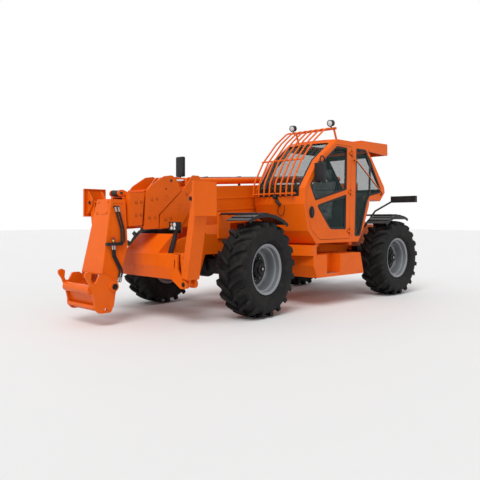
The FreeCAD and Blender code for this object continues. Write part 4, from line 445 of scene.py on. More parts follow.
def land(node, start, way):
    """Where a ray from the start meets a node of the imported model, and the face's normal there."""
    hit, place, normal, _ = NODES[node].ray_cast(start, Vector(way).normalized())
    if not hit:
        raise RuntimeError(f"nothing of {node} lies {tuple(way)} of {tuple(start)}")
    return place, normal


def facing(place, way):
    """Matrix that stands a piece made along Z on a place, looking along way."""
    return Matrix.Translation(place) @ Vector(way).to_track_quat("Z", "Y").to_matrix().to_4x4()


# Modelling tools

def take(*things):
    """Object mode with only these selected, the first one active."""
    if bpy.context.mode != "OBJECT":
        bpy.ops.object.mode_set(mode="OBJECT")
    bpy.ops.object.select_all(action="DESELECT")
    for thing in things:
        thing.select_set(True)
    if things:
        bpy.context.view_layer.objects.active = things[0]


def edit(thing):
    """Edit mode with all of a piece selected."""
    take(thing)
    bpy.ops.object.mode_set(mode="EDIT")
    bpy.ops.mesh.select_all(action="SELECT")


def settle():
    """Puts the place, turn and size of what is selected into its mesh."""
    bpy.ops.object.transform_apply(location=True, rotation=True, scale=True)


def named(name):
    thing = bpy.context.object
    thing.name = thing.data.name = name
    settle()
    return thing


def block(name, low, high):
    """Box between two corners."""
    take()
    low, high = Vector(low), Vector(high)
    bpy.ops.mesh.primitive_cube_add(size=1.0, location=(low + high) / 2, scale=high - low)
    return named(name)


def bar(name, start, end, radius, sides=20):
    """Round bar between two places."""
    take()
    start, end = Vector(start), Vector(end)
    way = end - start
    bpy.ops.mesh.primitive_cylinder_add(
        vertices=sides, radius=radius, depth=way.length, location=(start + end) / 2,
        rotation=way.to_track_quat("Z", "Y").to_euler())
    return named(name)


def bent_bar(name, points, radius, rounds=3):
    """Smooth round bar that follows the points."""
    take()
    bpy.ops.curve.primitive_nurbs_path_add()
    path = bpy.context.object
    path.name = name
    path.data.splines.clear()
    line = path.data.splines.new("NURBS")
    line.points.add(len(points) - 1)
    for point, place in zip(line.points, points):
        point.co = (*place, 1.0)
    line.order_u = 3
    line.use_endpoint_u = True
    line.resolution_u = 8
    path.data.bevel_depth = radius
    path.data.bevel_resolution = rounds
    path.data.use_fill_caps = True
    bpy.ops.object.convert(target="MESH")
    return named(name)


def pick(thing, test):
    """Edit mode with the faces selected whose middle and normal pass the test."""
    take(thing)
    bpy.context.tool_settings.mesh_select_mode = (False, False, True)
    for parts in (thing.data.vertices, thing.data.edges):
        parts.foreach_set("select", [False] * len(parts))
    for face in thing.data.polygons:
        face.select = bool(test(face.center, face.normal))
    bpy.ops.object.mode_set(mode="EDIT")


def facing_out(way, least=0.9):
    """Test for faces whose normal lies along way."""
    way = Vector(way).normalized()
    return lambda middle, normal: normal.dot(way) > least


def stepped(thing, way, *steps, least=0.9):
    """Insets the faces that look along way, step by step: width and depth of each."""
    pick(thing, facing_out(way, least))
    for width, depth in steps:
        bpy.ops.mesh.inset(thickness=width, depth=depth)
    return thing


def shaped(thing, kind, **settings):
    """Applies one modifier."""
    take(thing)
    step = thing.modifiers.new("step", kind)
    for name, value in settings.items():
        setattr(step, name, value)
    bpy.ops.object.modifier_apply(modifier=step.name)
    return thing


def rounded(thing, width, segments=2, limit=35.0):
    """Rounds the sharp edges."""
    return shaped(thing, "BEVEL", width=width, segments=segments, limit_method="ANGLE",
                  angle_limit=math.radians(limit))


def sliced(thing, places, way):
    """Cuts edges into a piece where planes across way pass through the places."""
    edit(thing)
    for place in places:
        bpy.ops.mesh.select_all(action="SELECT")
        bpy.ops.mesh.bisect(plane_co=place, plane_no=way)
    bpy.ops.object.mode_set(mode="OBJECT")


def together(name, *things):
    take(*things)
    if len(things) > 1:
        bpy.ops.object.join()
    whole = bpy.context.object
    whole.name = whole.data.name = name
    return whole


def copied(original):
    twin = original.copy()
    twin.data = original.data.copy()
    bpy.context.collection.objects.link(twin)
    return twin


def repeated(name, original, places, keep=False):
    """The same piece at every place, each copy with its own mesh, joined into one piece."""
    twins = []
    for place in places:
        twins.append(copied(original))
        twins[-1].matrix_world = place
    take(*twins)
    settle()
    if not keep:
        bpy.data.objects.remove(original)
    return together(name, *twins)


def finished(thing, body, slot, angle=35.0):
    """Finishes a piece: faces outwards, smooth shading, its body and its material."""
    edit(thing)
    bpy.ops.mesh.normals_make_consistent(inside=False)
    bpy.ops.object.mode_set(mode="OBJECT")
    bpy.ops.object.shade_smooth_by_angle(angle=math.radians(angle))
    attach(thing, body)
    dress(thing, finish_for(slot))
    return thing


def hex_bolt(size):
    """Bolt head on its washer, along Z from the origin; size is the head's half width."""
    washer = bar("bolt_washer", (0, 0, -size * 0.3), (0, 0, size * 0.18), size * 1.35, 20)
    head = bar("bolt_head", (0, 0, size * 0.1), (0, 0, size * 0.75), size * 1.12, 6)
    stepped(head, (0, 0, 1), (size * 0.16, size * 0.1))
    return together("bolt", washer, head)


def bolts(name, places, body, size, slot="cast_metal"):
    """Bolt heads on a body, each at a place with the way that it looks."""
    whole = repeated(name, hex_bolt(size), [facing(place, way) for place, way in places])
    return finished(whole, body, slot, 25.0)


# Tyres and wheels

TYRE_RADIUS = 0.625
NUT_CIRCLE, HUB_BOLT_CIRCLE = 0.156, 0.1
HUB_BOLTS = 8
DISC_FACE, OUTSIDE = -0.0448, 0.5
MIRRORED = Matrix.Scale(-1, 4, (0, 1, 0))

# columns: distance from the wheel's middle plane and radius, in metres, from the bead to the crown
TYRE_SECTION = (
    (0.1500, 0.3070), (0.1500, 0.3350), (0.1600, 0.3460), (0.1800, 0.3570), (0.1890, 0.3700), (0.1905, 0.3790),
    (0.1960, 0.3860), (0.2005, 0.3880), (0.2010, 0.3940), (0.1995, 0.3980), (0.2055, 0.4250), (0.2090, 0.4550),
    (0.2100, 0.4850), (0.2085, 0.5150), (0.2040, 0.5400), (0.1900, 0.5560), (0.1500, 0.5700), (0.1050, 0.5790),
    (0.0500, 0.5830))
# columns: distance from the middle plane, arc behind the tip, half width at the foot and at the top,
# radius of the foot and of the top
LUG_STATIONS = (
    (0.000, 0.000, 0.030, 0.022, 0.572, 0.6245), (0.052, 0.048, 0.034, 0.025, 0.572, 0.6240),
    (0.105, 0.088, 0.038, 0.027, 0.570, 0.6230), (0.160, 0.121, 0.040, 0.030, 0.556, 0.6150),
    (0.204, 0.146, 0.042, 0.033, 0.530, 0.6030), (0.2090, 0.149, 0.037, 0.027, 0.500, 0.5700))


def wheel_frame(corner):
    """Matrix from a wheel drawn about the Y axis, outboard towards +Y, to its place."""
    joint = JOINTS["spin_" + corner]
    axis = Vector(joint["axis"])
    turn = Matrix.Rotation(math.atan2(-axis.x, axis.y), 4, "Z")
    flip = MIRRORED if corner.endswith("right") else Matrix.Identity(4)
    return Matrix.Translation(joint["pos_m"]) @ turn @ flip


def circle_on(wheel, radius, depth, count, turn=0.0):
    """Even places on a circle about a wheel's axis; turn is in steps from one place to the next."""
    angles = [2 * math.pi * (k + turn) / count for k in range(count)]
    return [wheel @ Vector((radius * math.sin(angle), depth, radius * math.cos(angle))) for angle in angles]


def tyre_casing():
    """Smooth casing: the section as a ring of points, spun about the wheel's axis."""
    section = list(TYRE_SECTION) + [(0.0, 0.5835)] + [(-y, r) for y, r in reversed(TYRE_SECTION)]
    take()
    bpy.ops.mesh.primitive_circle_add(vertices=len(section), radius=0.1)
    casing = named("casing")
    for vertex, (y, radius) in zip(casing.data.vertices, section):
        vertex.co = (0, y, radius)
    edit(casing)
    bpy.ops.mesh.spin(steps=100, angle=2 * math.pi, center=(0, 0, 0), axis=(0, 1, 0), use_auto_merge=True)
    bpy.ops.mesh.select_all(action="SELECT")
    bpy.ops.mesh.remove_doubles(threshold=0.0001)
    bpy.ops.object.mode_set(mode="OBJECT")
    return casing


def tyre_lug(edge):
    """One lug on the outboard half of the tread, its tip on the middle at the top of the wheel."""
    last = len(LUG_STATIONS) - 1
    lug = block("lug", (-1, 0, 0), (1, last, 1))
    sliced(lug, [(0, cut, 0) for cut in range(1, last)], (0, 1, 0))
    for vertex in lug.data.vertices:
        y, arc, foot, top, low, high = LUG_STATIONS[round(vertex.co.y)]
        half, radius = (top, high) if vertex.co.z > 0.5 else (foot, low)
        angle = (math.copysign(half, vertex.co.x) - arc) / TYRE_RADIUS
        vertex.co = (radius * math.sin(angle), y, radius * math.cos(angle))
    return rounded(lug, edge, 2, 25.0)


class HANDLER_OT_tyres(bpy.types.Operator):
    """Tyres with rounded V lugs over a smooth casing"""
    bl_idname = "handler.tyres"
    bl_label = "Tyres"

    def execute(self, context):
        sizes = context.scene.handler_sizes
        lug = tyre_lug(sizes.lug_edge)
        turns = []
        for k in range(sizes.lugs):
            turns.append(Matrix.Rotation(2 * math.pi * k / sizes.lugs, 4, "Y"))
            turns.append(Matrix.Rotation(2 * math.pi * (k + 0.5) / sizes.lugs, 4, "Y") @ MIRRORED)
        tread = repeated("tread", lug, turns)
        tyre = together("tyre", tyre_casing(), tread)
        for corner in WHEELS:
            piece = repeated("lugged_tyre_" + corner, tyre, [wheel_frame(corner)], keep=True)
            finished(piece, "wheel_" + corner, "tyre_rubber", 40.0)
            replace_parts(piece, "tyre_" + corner)
        bpy.data.objects.remove(tyre)
        return {"FINISHED"}


class HANDLER_OT_wheel_nuts(bpy.types.Operator):
    """Nuts on the wheel discs, tyre valves and hub cover bolts"""
    bl_idname = "handler.wheel_nuts"
    bl_label = "Wheel nuts"

    def execute(self, context):
        sizes = context.scene.handler_sizes
        for corner in WHEELS:
            on_wheel = wheel_frame(corner)
            body, hub = "wheel_" + corner, "hub_" + corner
            out = on_wheel.to_3x3() @ Vector((0, 1, 0))
            places = circle_on(on_wheel, NUT_CIRCLE, DISC_FACE, sizes.wheel_nuts)
            bolts("wheel_nuts_" + corner, [(place, out) for place in places], body, sizes.wheel_nut)
            stud = rounded(bar("stud", (0, 0, 0), (0, 0, 0.026), 0.008, 12), 0.002, 1)
            studs = repeated("wheel_studs_" + corner, stud, [facing(place, out) for place in places])
            finished(studs, body, "bright_steel")
            place, _ = land(hub, on_wheel @ Vector((0, OUTSIDE, 0)), -out)
            cap = bar("hub_cap_" + corner, place - out * 0.002, place + out * 0.005, 0.017, 32)
            stepped(cap, out, *((0.004, 0.0022 - 0.0006 * step) for step in range(3)))
            finished(cap, body, "bright_steel", 50.0)
            starts = circle_on(on_wheel, HUB_BOLT_CIRCLE, OUTSIDE, HUB_BOLTS, 0.5)
            bolts("hub_bolts_" + corner, [land(hub, start, -out) for start in starts], body, 0.008)
            valve = bar("valve_" + corner, on_wheel @ Vector((0, -0.016, 0.25)),
                        on_wheel @ Vector((0, 0.03, 0.262)), 0.006, 12)
            stepped(valve, out, (0.0015, 0.0), least=0.8)
            bpy.ops.mesh.extrude_region_move(TRANSFORM_OT_translate={"value": tuple(out * 0.012)})
            finished(valve, body, "bright_steel")
        return {"FINISHED"}


# Cab

CAB_FLOOR = 970.4
ARMREST_Y = 333
SEAL_THICKNESS = 0.009


def seal(name, node, body, width):
    """Rubber round the panes of a glass node: their outer faces, inset to a band and thickened."""
    band = copied(NODES[node])
    band.name = band.data.name = name
    for key in list(band.keys()):
        del band[key]
    band.parent = None
    edit(band)
    bpy.ops.mesh.remove_doubles(threshold=0.00005)
    bpy.ops.mesh.select_all(action="SELECT")
    bpy.ops.mesh.separate(type="LOOSE")
    bpy.ops.object.mode_set(mode="OBJECT")
    panes = list(bpy.context.selected_objects)
    for pane in panes:
        way = Vector((0, 0, 0))
        for face in pane.data.polygons:
            if face.normal.dot(face.center - CAB_MIDDLE) > 0:
                way += face.normal * face.area
        way.normalize()
        pick(pane, lambda middle, normal: normal.dot(way) < 0.55)
        bpy.ops.mesh.delete(type="FACE")
        bpy.ops.mesh.select_all(action="SELECT")
        bpy.ops.mesh.dissolve_limited(angle_limit=math.radians(0.5))
        bpy.ops.mesh.select_all(action="SELECT")
        bpy.ops.mesh.inset(thickness=width, use_boundary=True, use_even_offset=True)
        bpy.ops.mesh.delete(type="FACE")
        shaped(pane, "SOLIDIFY", thickness=SEAL_THICKNESS, offset=1.0)
        rounded(pane, SEAL_THICKNESS * 0.3, 2, 50.0)
    return finished(together(name, *panes), body, "black_plastic", 40.0)


class HANDLER_OT_seals(bpy.types.Operator):
    """Rubber seals round the cab's panes"""
    bl_idname = "handler.seals"
    bl_label = "Window seals"

    def execute(self, context):
        width = context.scene.handler_sizes.seal
        seal("cab_seals", "cab_glass", "chassis", width)
        seal("door_seals", "door_glass", "cab_door", width)
        return {"FINISHED"}


def wiper():
    """Parallel-arm wiper over the windscreen, laid on the glass."""
    def on_cab(node, y, z):
        return land(node, spot(-400, y, z), (-1, 0, 0))

    def on_glass(y, z, off):
        place, normal = on_cab("cab_glass", y, z)
        return place + (normal if normal.x > 0 else -normal) * off

    def on_shell(y, z, off):
        place, normal = on_cab("cab_shell", y, z)
        return place + normal * off

    cover = bent_bar("wiper_cover", [on_shell(640, 1606, 0.012), on_shell(668, 1560, 0.020),
                                     on_shell(700, 1515, 0.018), on_shell(735, 1480, 0.010)], 0.024, 4)
    hub = bar("wiper_hub", on_shell(655, 1588, 0.0), on_shell(655, 1588, 0.055), 0.030, 24)
    stepped(hub, (1, 0, 0), (0.008, 0.006), least=0.8)
    arm = bent_bar("wiper_arm", [on_shell(655, 1588, 0.050), on_glass(640, 1680, 0.034),
                                 on_glass(600, 1800, 0.028), on_glass(570, 1900, 0.020)], 0.007)
    blade_line = [on_glass(592 - 10 * k, 1690 + 62 * k, 0.010) for k in range(7)]
    blade = bent_bar("wiper_blade", blade_line, 0.006)
    spine = bent_bar("wiper_spine", [place + Vector((0.010, 0, 0.003)) for place in blade_line[1:-1]], 0.0045)
    pipe = bent_bar("washer_pipe", [on_shell(*place) for place in (
        (725, 1490, 0.004), (682, 1440, 0.012), (668, 1385, 0.012), (690, 1338, 0.012), (728, 1326, 0.012),
        (766, 1350, 0.012), (788, 1400, 0.012), (800, 1472, 0.004))], 0.004)
    return finished(together("wiper", cover, hub, arm, blade, spine, pipe), "chassis", "black_plastic")


def door_handle():
    """Oval grip plate with a pull lever, low on the front of the door."""
    place, _ = land("cab_door", spot(-1062, 1400, 1375), (0, -1, 0))
    plate = bar("door_handle", place - Vector((0, 0.002, 0)), place + Vector((0, 0.010, 0)), 0.05, 40)
    edit(plate)
    bpy.ops.transform.resize(value=(1.1, 1.0, 1.7), center_override=place)
    stepped(plate, (0, 1, 0), (0.007, 0.003), (0.005, -0.009))
    rounded(plate, 0.002)
    lever = block("door_lever", place + Vector((-0.022, 0.004, -0.05)), place + Vector((0.022, 0.016, 0.048)))
    stepped(lever, (0, 1, 0), (0.004, 0.004))
    rounded(lever, 0.003)
    lock = bar("door_lock", place + Vector((0, 0.002, -0.066)), place + Vector((0, 0.013, -0.066)), 0.009, 20)
    stepped(lock, (0, 1, 0), (0.003, -0.002))
    return finished(together("door_handle", plate, lever, lock), "cab_door", "black_plastic")


class HANDLER_OT_cab_trim(bpy.types.Operator):
    """Wiper, washer pipe, door handle, floor mat, armrest, lever and dash panel"""
    bl_idname = "handler.cab_trim"
    bl_label = "Cab trim"

    def execute(self, context):
        wiper()
        door_handle()
        mat = block("floor_mat", spot(-2060, 200, CAB_FLOOR), spot(-1260, 1020, 978))
        stepped(mat, (0, 0, 1), *((0.02, 0.003 if step % 2 else -0.003) for step in range(3)))
        finished(rounded(mat, 0.002, 1), "chassis", "tyre_rubber")
        rest = block("armrest", spot(-1840, 300, 1500), spot(-1500, 366, 1556))
        finished(rounded(rest, 0.024, 4), "chassis", "seat_fabric")
        post = block("armrest_post", spot(-1800, 316, 1260), spot(-1740, 350, 1505))
        finished(rounded(post, 0.008), "chassis", "black_plastic")
        stick = bent_bar("lever_stick", spots((-1520, ARMREST_Y, 1545), (-1515, ARMREST_Y, 1600),
                                              (-1505, ARMREST_Y, 1640)), 0.010)
        knob = bar("lever_knob", spot(-1507, ARMREST_Y, 1632), spot(-1494, ARMREST_Y, 1710), 0.024, 20)
        stepped(knob, (0.2, 0, 1), (0.008, 0.008), least=0.8)
        finished(together("hand_lever", stick, rounded(knob, 0.008, 3)), "chassis", "black_plastic")
        panel = block("dash_panel", spot(-1262, 480, 1432), spot(-1128, 740, 1505))
        pick(panel, facing_out((-1, 0, 0)))
        bpy.ops.transform.translate(value=(0.05, 0, 0.04))
        bpy.ops.mesh.inset(thickness=0.012, depth=-0.006)
        finished(rounded(panel, 0.006), "chassis", "black_plastic")
        return {"FINISHED"}


# Driver's seat

CLOTH_STEPS = 20
SEAM_DEPTH, SEAM_HALF_WIDTH = 0.010, 0.014


def pad(name, low, high, lean, swell):
    """Cushion: a soft-edged block, remeshed, blown up as cloth and subdivided; channels are pressed in separately by
    sew.
    """
    cushion = block(name, low, high)
    pick(cushion, facing_out((0, 0, 1)))
    bpy.ops.transform.translate(value=(lean, 0, 0))
    rounded(cushion, 0.028, 4)
    shaped(cushion, "REMESH", mode="VOXEL", voxel_size=0.006)
    shaped(cushion, "SMOOTH", factor=0.5, iterations=6)
    blow_up(cushion, swell)
    return shaped(cushion, "SUBSURF", levels=1, render_levels=1)


def blow_up(cushion, most):
    """Cloth pressure swells the cushion; no point moves further than most."""
    start = [vertex.co.copy() for vertex in cushion.data.vertices]
    cloth = cushion.modifiers.new("cloth", "CLOTH")
    cloth.settings.use_pressure = True
    cloth.settings.uniform_pressure_force = 4.0
    cloth.settings.effector_weights.gravity = 0.0
    cloth.settings.quality = 5
    scene = bpy.context.scene
    for step in range(CLOTH_STEPS):
        scene.frame_set(step + 1)
    swollen = cushion.evaluated_get(bpy.context.evaluated_depsgraph_get()).data
    ends = [vertex.co.copy() for vertex in swollen.vertices]
    cushion.modifiers.remove(cloth)
    for vertex, begin, end in zip(cushion.data.vertices, start, ends):
        move = end - begin
        if move.length > most:
            move = move.normalized() * most
        vertex.co = begin + move
    scene.frame_set(1)


def sew(cushion, lines):
    """Presses sewn channels into a cushion along planes, given as a point and a normal."""
    normals = [vertex.normal.copy() for vertex in cushion.data.vertices]
    for vertex, normal in zip(cushion.data.vertices, normals):
        press = 0.0
        for place, way in lines:
            gap = abs((vertex.co - place).dot(way)) / SEAM_HALF_WIDTH
            if gap < 1.0:
                press = max(press, (1.0 - gap * gap) ** 2)
        vertex.co -= normal * (press * SEAM_DEPTH)


class HANDLER_OT_seat(bpy.types.Operator):
    """Driver's seat: bellows base, swollen cushions with sewn channels, headrest on two posts"""
    bl_idname = "handler.seat"
    bl_label = "Driver's seat"

    def execute(self, context):
        across, along = Vector((0, 1, 0)), Vector((1, 0, 0))
        cushion = pad("seat_cushion", spot(-1940, 382, 1272), spot(-1412, 838, 1352), 0.0, 0.026)
        sew(cushion, [(spot(-1680, 482, 1300), across), (spot(-1680, 738, 1300), across),
                      (spot(-1560, 610, 1300), along), (spot(-1760, 610, 1300), along)])
        back = pad("seat_back", spot(-1938, 392, 1345), spot(-1862, 828, 1880), -0.105, 0.026)
        sew(back, [(spot(-1900, 482, 1600), across), (spot(-1900, 738, 1600), across)]
            + [(spot(-1900, 610, z), Vector((0, 0, 1))) for z in (1470, 1600, 1730)])
        head = pad("seat_headrest", spot(-2046, 494, 1908), spot(-1976, 726, 2066), -0.02, 0.022)
        for piece in (cushion, back, head):
            finished(piece, "chassis", "seat_fabric", 60.0)
            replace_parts(piece, "seat")
        pleats = []
        for row in range(9):
            z = 1040 + row * 22
            pleat = block("pleat", spot(-1880, 420, z), spot(-1500, 800, z + 20))
            pick(pleat, lambda middle, normal: abs(normal.z) < 0.5)
            bpy.ops.mesh.inset(thickness=0.004, depth=0.016, use_individual=False)
            pleats.append(rounded(pleat, 0.003))
        plate = block("seat_plate", spot(-1900, 400, 1240), spot(-1480, 820, 1268))
        foot = block("seat_foot", spot(-1900, 400, CAB_FLOOR), spot(-1480, 820, 1042))
        for part in (plate, foot):
            rounded(part, 0.008)
        frame_piece = together("seat_frame", plate, foot, *pleats)
        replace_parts(finished(frame_piece, "chassis", "black_plastic"), "seat")
        posts = [bar("headrest_post", spot(-1985, y, 1850), spot(-2005, y, 1935), 0.007, 16) for y in (560, 660)]
        finished(together("headrest_posts", *posts), "chassis", "chrome_rod")
        return {"FINISHED"}


# Boom, nose column and carriage

# columns: the section, then its bolts in millimetres along the boom and above its middle
COLLAR_BOLTS = (
    ("boom_outer", ((4400, -153), (4314, -142), (4020, 172))),
    ("boom_second", ((4609, 119), (4525, 124), (4657, -117), (4574, -116))),
    ("boom_third", ((4850, 90), (4771, 90), (4862, -72), (4788, -73))))


class HANDLER_OT_boom_bolts(bpy.types.Operator):
    """Bolts of the wear pads in the collars and of the nose cover, and the keepers of the pins"""
    bl_idname = "handler.boom_bolts"
    bl_label = "Boom bolts"

    def execute(self, context):
        size = context.scene.handler_sizes.bolt
        for section, table in COLLAR_BOLTS:
            places = [land(section, on_boom(s, t, side * 400), (0, -side, 0)) for s, t in table for side in (1, -1)]
            bolts("collar_bolts_" + section, places, section, size * 0.8, "orange_paint")
            # a thin dark disc under each collar bolt: a painted shadow ring round the bolt
            ring = bar("ring", (0, 0, -0.003), (0, 0, 0.0016), size * 1.45, 28)
            finished(repeated("bolt_shadow_rings_" + section, ring, [facing(place, way) for place, way in places]),
                     section, "cast_metal")
        cover = Vector((0.982, 0, 0.187))
        nose = [(spot(1586 + (1513 - z) * 34 / 179, BOOM_Y + y, z), cover)
                for z in (1490, 1356) for y in (-104, 104)]
        bolts("nose_bolts", nose, "boom_nose", size, "orange_paint")
        for name, side in SIDES:
            for pin, s, t, radius in (("extend_pin", 4275.7, 355, 0.0215), ("sight_hole", 4369, 250, 0.016)):
                end = bar(f"{pin}_{name}", on_boom(s, t, side * 150), on_boom(s, t, side * 205), radius, 24)
                stepped(end, (0, side, 0), (radius * 0.3, -0.004))
                finished(rounded(end, 0.001, 1), "boom_second", "dark_steel")
            ahead, aside = Vector((1, 0, 0)), Vector((0, side, 0))
            # columns: name, body, a place outside it, the way that the pin's end looks, radius and finish
            for pin, body, start, out, radius, slot in (
                    ("boom_pivot", "boom_outer", spot(-3600, BOOM_Y + side * 600, 1672), aside, 0.040, "cast_metal"),
                    ("lift_pin", "boom_outer", on_boom(2200, -440, side * 500), aside, 0.036, "cast_metal"),
                    ("tilt_pin", "carriage", spot(1650, BOOM_Y + side * 700, 466), aside, 0.036, "cast_metal"),
                    ("arm_pin", "stabiliser_arm_" + name, spot(1500, side * 914, 503), ahead, 0.027, "cast_metal"),
                    ("foot_pin", "stabiliser_foot_" + name, spot(1500, side * 1115.2, 1510.1), ahead, 0.026,
                     "cast_metal"),
                    ("leg_pin", "leg_barrel_" + name, spot(1500, side * 95, 680), ahead, 0.019, "orange_paint")):
                place, _ = land(body, start, -out)
                self.keeper(f"{pin}_keeper_{name}", place, out, radius, body, slot)
        return {"FINISHED"}

    def keeper(self, name, place, out, radius, body, slot):
        """Round end plate on a pin, with three bolts."""
        plate = bar(name, place, place + out * 0.008, radius, 32)
        stepped(plate, out, (radius * 0.16, 0.003), (radius * 0.42, -0.002))
        rounded(plate, 0.0015, 1)
        finished(plate, body, slot)
        ring = []
        for k in range(3):
            angle = 2 * math.pi * k / 3 + 0.5
            aside = Vector((out.y, out.x, 0)) * math.sin(angle) + Vector((0, 0, math.cos(angle)))
            ring.append((place + out * 0.0075 + aside * radius * 0.68, out))
        bolts(name + "_bolts", ring, body, radius * 0.15, slot)


def ferrule(span, radius):
    """Swaged hose end with its hexagon, along Z from the origin."""
    sleeve = bar("sleeve", (0, 0, 0), (0, 0, span), radius, 24)
    for groove in (0.25 * span, 0.5 * span, 0.75 * span):
        sliced(sleeve, [(0, 0, groove - 0.0015), (0, 0, groove + 0.0015)], (0, 0, 1))
        pick(sleeve, lambda middle, normal: abs(middle.z - groove) < 0.001)
        bpy.ops.transform.resize(value=(0.93, 0.93, 1.0), center_override=(0, 0, groove))
    nut = bar("nut", (0, 0, -0.016), (0, 0, 0.002), radius * 1.2, 6)
    return together("ferrule", rounded(sleeve, 0.0008, 1), rounded(nut, 0.001, 1))


class HANDLER_OT_hose_fittings(bpy.types.Operator):
    """Hose ends on the nose column and along the boom, and the tap"""
    bl_idname = "handler.hose_fittings"
    bl_label = "Hose ends and tap"

    def execute(self, context):
        end = ferrule(0.042, 0.0145)
        nose = []
        # columns: x and z of a hose at its end and a little way along it, and how far the end stands off
        for x0, z0, x1, z1, off in (
                (1537, 1408, 1470, 1150, 22), (1496, 1408, 1432, 1150, 22), (1574, 945, 1574, 830, 22),
                (1604, 945, 1604, 830, 22), (1504, 520, 1478, 640, 7), (1538, 520, 1512, 640, 7)):
            start, ahead = beside_nose(x0, z0, off), beside_nose(x1, z1, 22)
            nose.append(facing(start, ahead - start))
        boom = [facing(on_boom(s, 302, y), UP_BOOM) for y in (-128, -96) for s in (350, 3650)]
        finished(repeated("nose_ferrules", end, nose, keep=True), "boom_nose", "bright_steel")
        finished(repeated("boom_ferrules", end, boom), "boom_outer", "bright_steel")
        stem_foot = beside_nose(1589, 970, 20)
        stem_foot.z = 0.988
        stem = bar("tap_stem", stem_foot, stem_foot + Vector((0, 0, 0.034)), 0.0155, 6)
        finished(rounded(stem, 0.001, 1), "boom_nose", "brass")
        knob = bar("tap_knob", stem_foot + Vector((0, 0, 0.050)), stem_foot + Vector((0, 0, 0.068)), 0.024, 12)
        pick(knob, lambda middle, normal: abs(normal.z) < 0.5)
        bpy.ops.mesh.inset(thickness=0.002, depth=-0.002, use_individual=True)
        finished(rounded(knob, 0.001, 1), "boom_nose", "red_handle")
        return {"FINISHED"}


# Lamps and mirrors

LAMP_WAY = (63, 0, -12)
GLASS_EDGE = 0.026


class HANDLER_OT_lamp_lenses(bpy.types.Operator):
    """Lenses and bezels of the work lamps, headlamps and rear lamps"""
    bl_idname = "handler.lamp_lenses"
    bl_label = "Lamp lenses"

    def execute(self, context):
        way = Vector(LAMP_WAY).normalized()
        for name, y in (("left", 962), ("right", 215)):
            front = spot(-1672, y, 2730)
            bezel = bar("work_lamp_rim_" + name, front - way * 0.014, front + way * 0.006, 0.052, 40)
            stepped(bezel, way, (0.007, 0.0), (0.002, -0.008))
            finished(rounded(bezel, 0.002), "chassis", "black_plastic")
            lens = bar("work_lamp_lens_" + name, front - way * 0.006, front + way * 0.001, 0.0425, 40)
            stepped(lens, way, *((0.008, 0.0035 - 0.0008 * step) for step in range(4)))
            finished(lens, "chassis", "lamp_lens", 50.0)
        for name, side in SIDES:
            y0, y1 = sorted((side * 560, side * 700))
            rim = block("headlamp_rim_" + name, spot(1066, y0 - 3, 1137), spot(1081, y1 + 3, 1243))
            stepped(rim, (1, 0, 0), (0.008, 0.0), (0.001, -0.005))
            finished(rounded(rim, 0.004, 3), "chassis", "black_plastic")
            # columns: name, places across and up, radius, kind of lens
            for part, y, z, radius, kind in (
                    ("main", 660, 1206, 0.027, "lamp_lens"), ("dip", 660, 1158, 0.018, "lamp_lens"),
                    ("side", 600, 1212, 0.021, "amber_lens"), ("park", 604, 1164, 0.022, "lamp_lens")):
                lens = bar(f"headlamp_{part}_{name}", spot(1068, side * y, z), spot(1077, side * y, z), radius, 32)
                stepped(lens, (1, 0, 0), *((radius * 0.22, 0.002 - 0.0005 * step) for step in range(3)))
                finished(lens, "chassis", kind, 50.0)
            # columns: name, inner and outer end across the machine, kind of lens
            for part, near, far, kind in (("tail", 700, 860, "red_lens"), ("turn", 868, 1010, "amber_lens"),
                                          ("stop", 1018, 1166, "red_lens")):
                low, high = sorted((side * near, side * far))
                lens = block(f"rear_{part}_{name}", spot(-3969, low, 1587), spot(-3958, high, 1678))
                stepped(lens, (-1, 0, 0), (0.005, 0.003))
                finished(rounded(lens, 0.003), "chassis", kind)
        return {"FINISHED"}


def mirror_head(name, low, high, body):
    """Soft-cornered shell with the glass set in the face that looks back."""
    shell = rounded(block(name, low, high), 0.018, 4)
    stepped(shell, (-1, 0, 0), (0.008, 0.002), (0.003, -0.006), least=0.98)
    glass = block(name + "_glass", (low.x + 0.001, low.y + GLASS_EDGE, low.z + GLASS_EDGE),
                  (low.x + 0.004, high.y - GLASS_EDGE, high.z - GLASS_EDGE))
    finished(rounded(glass, 0.001, 1), body, "mirror_face")
    return shell


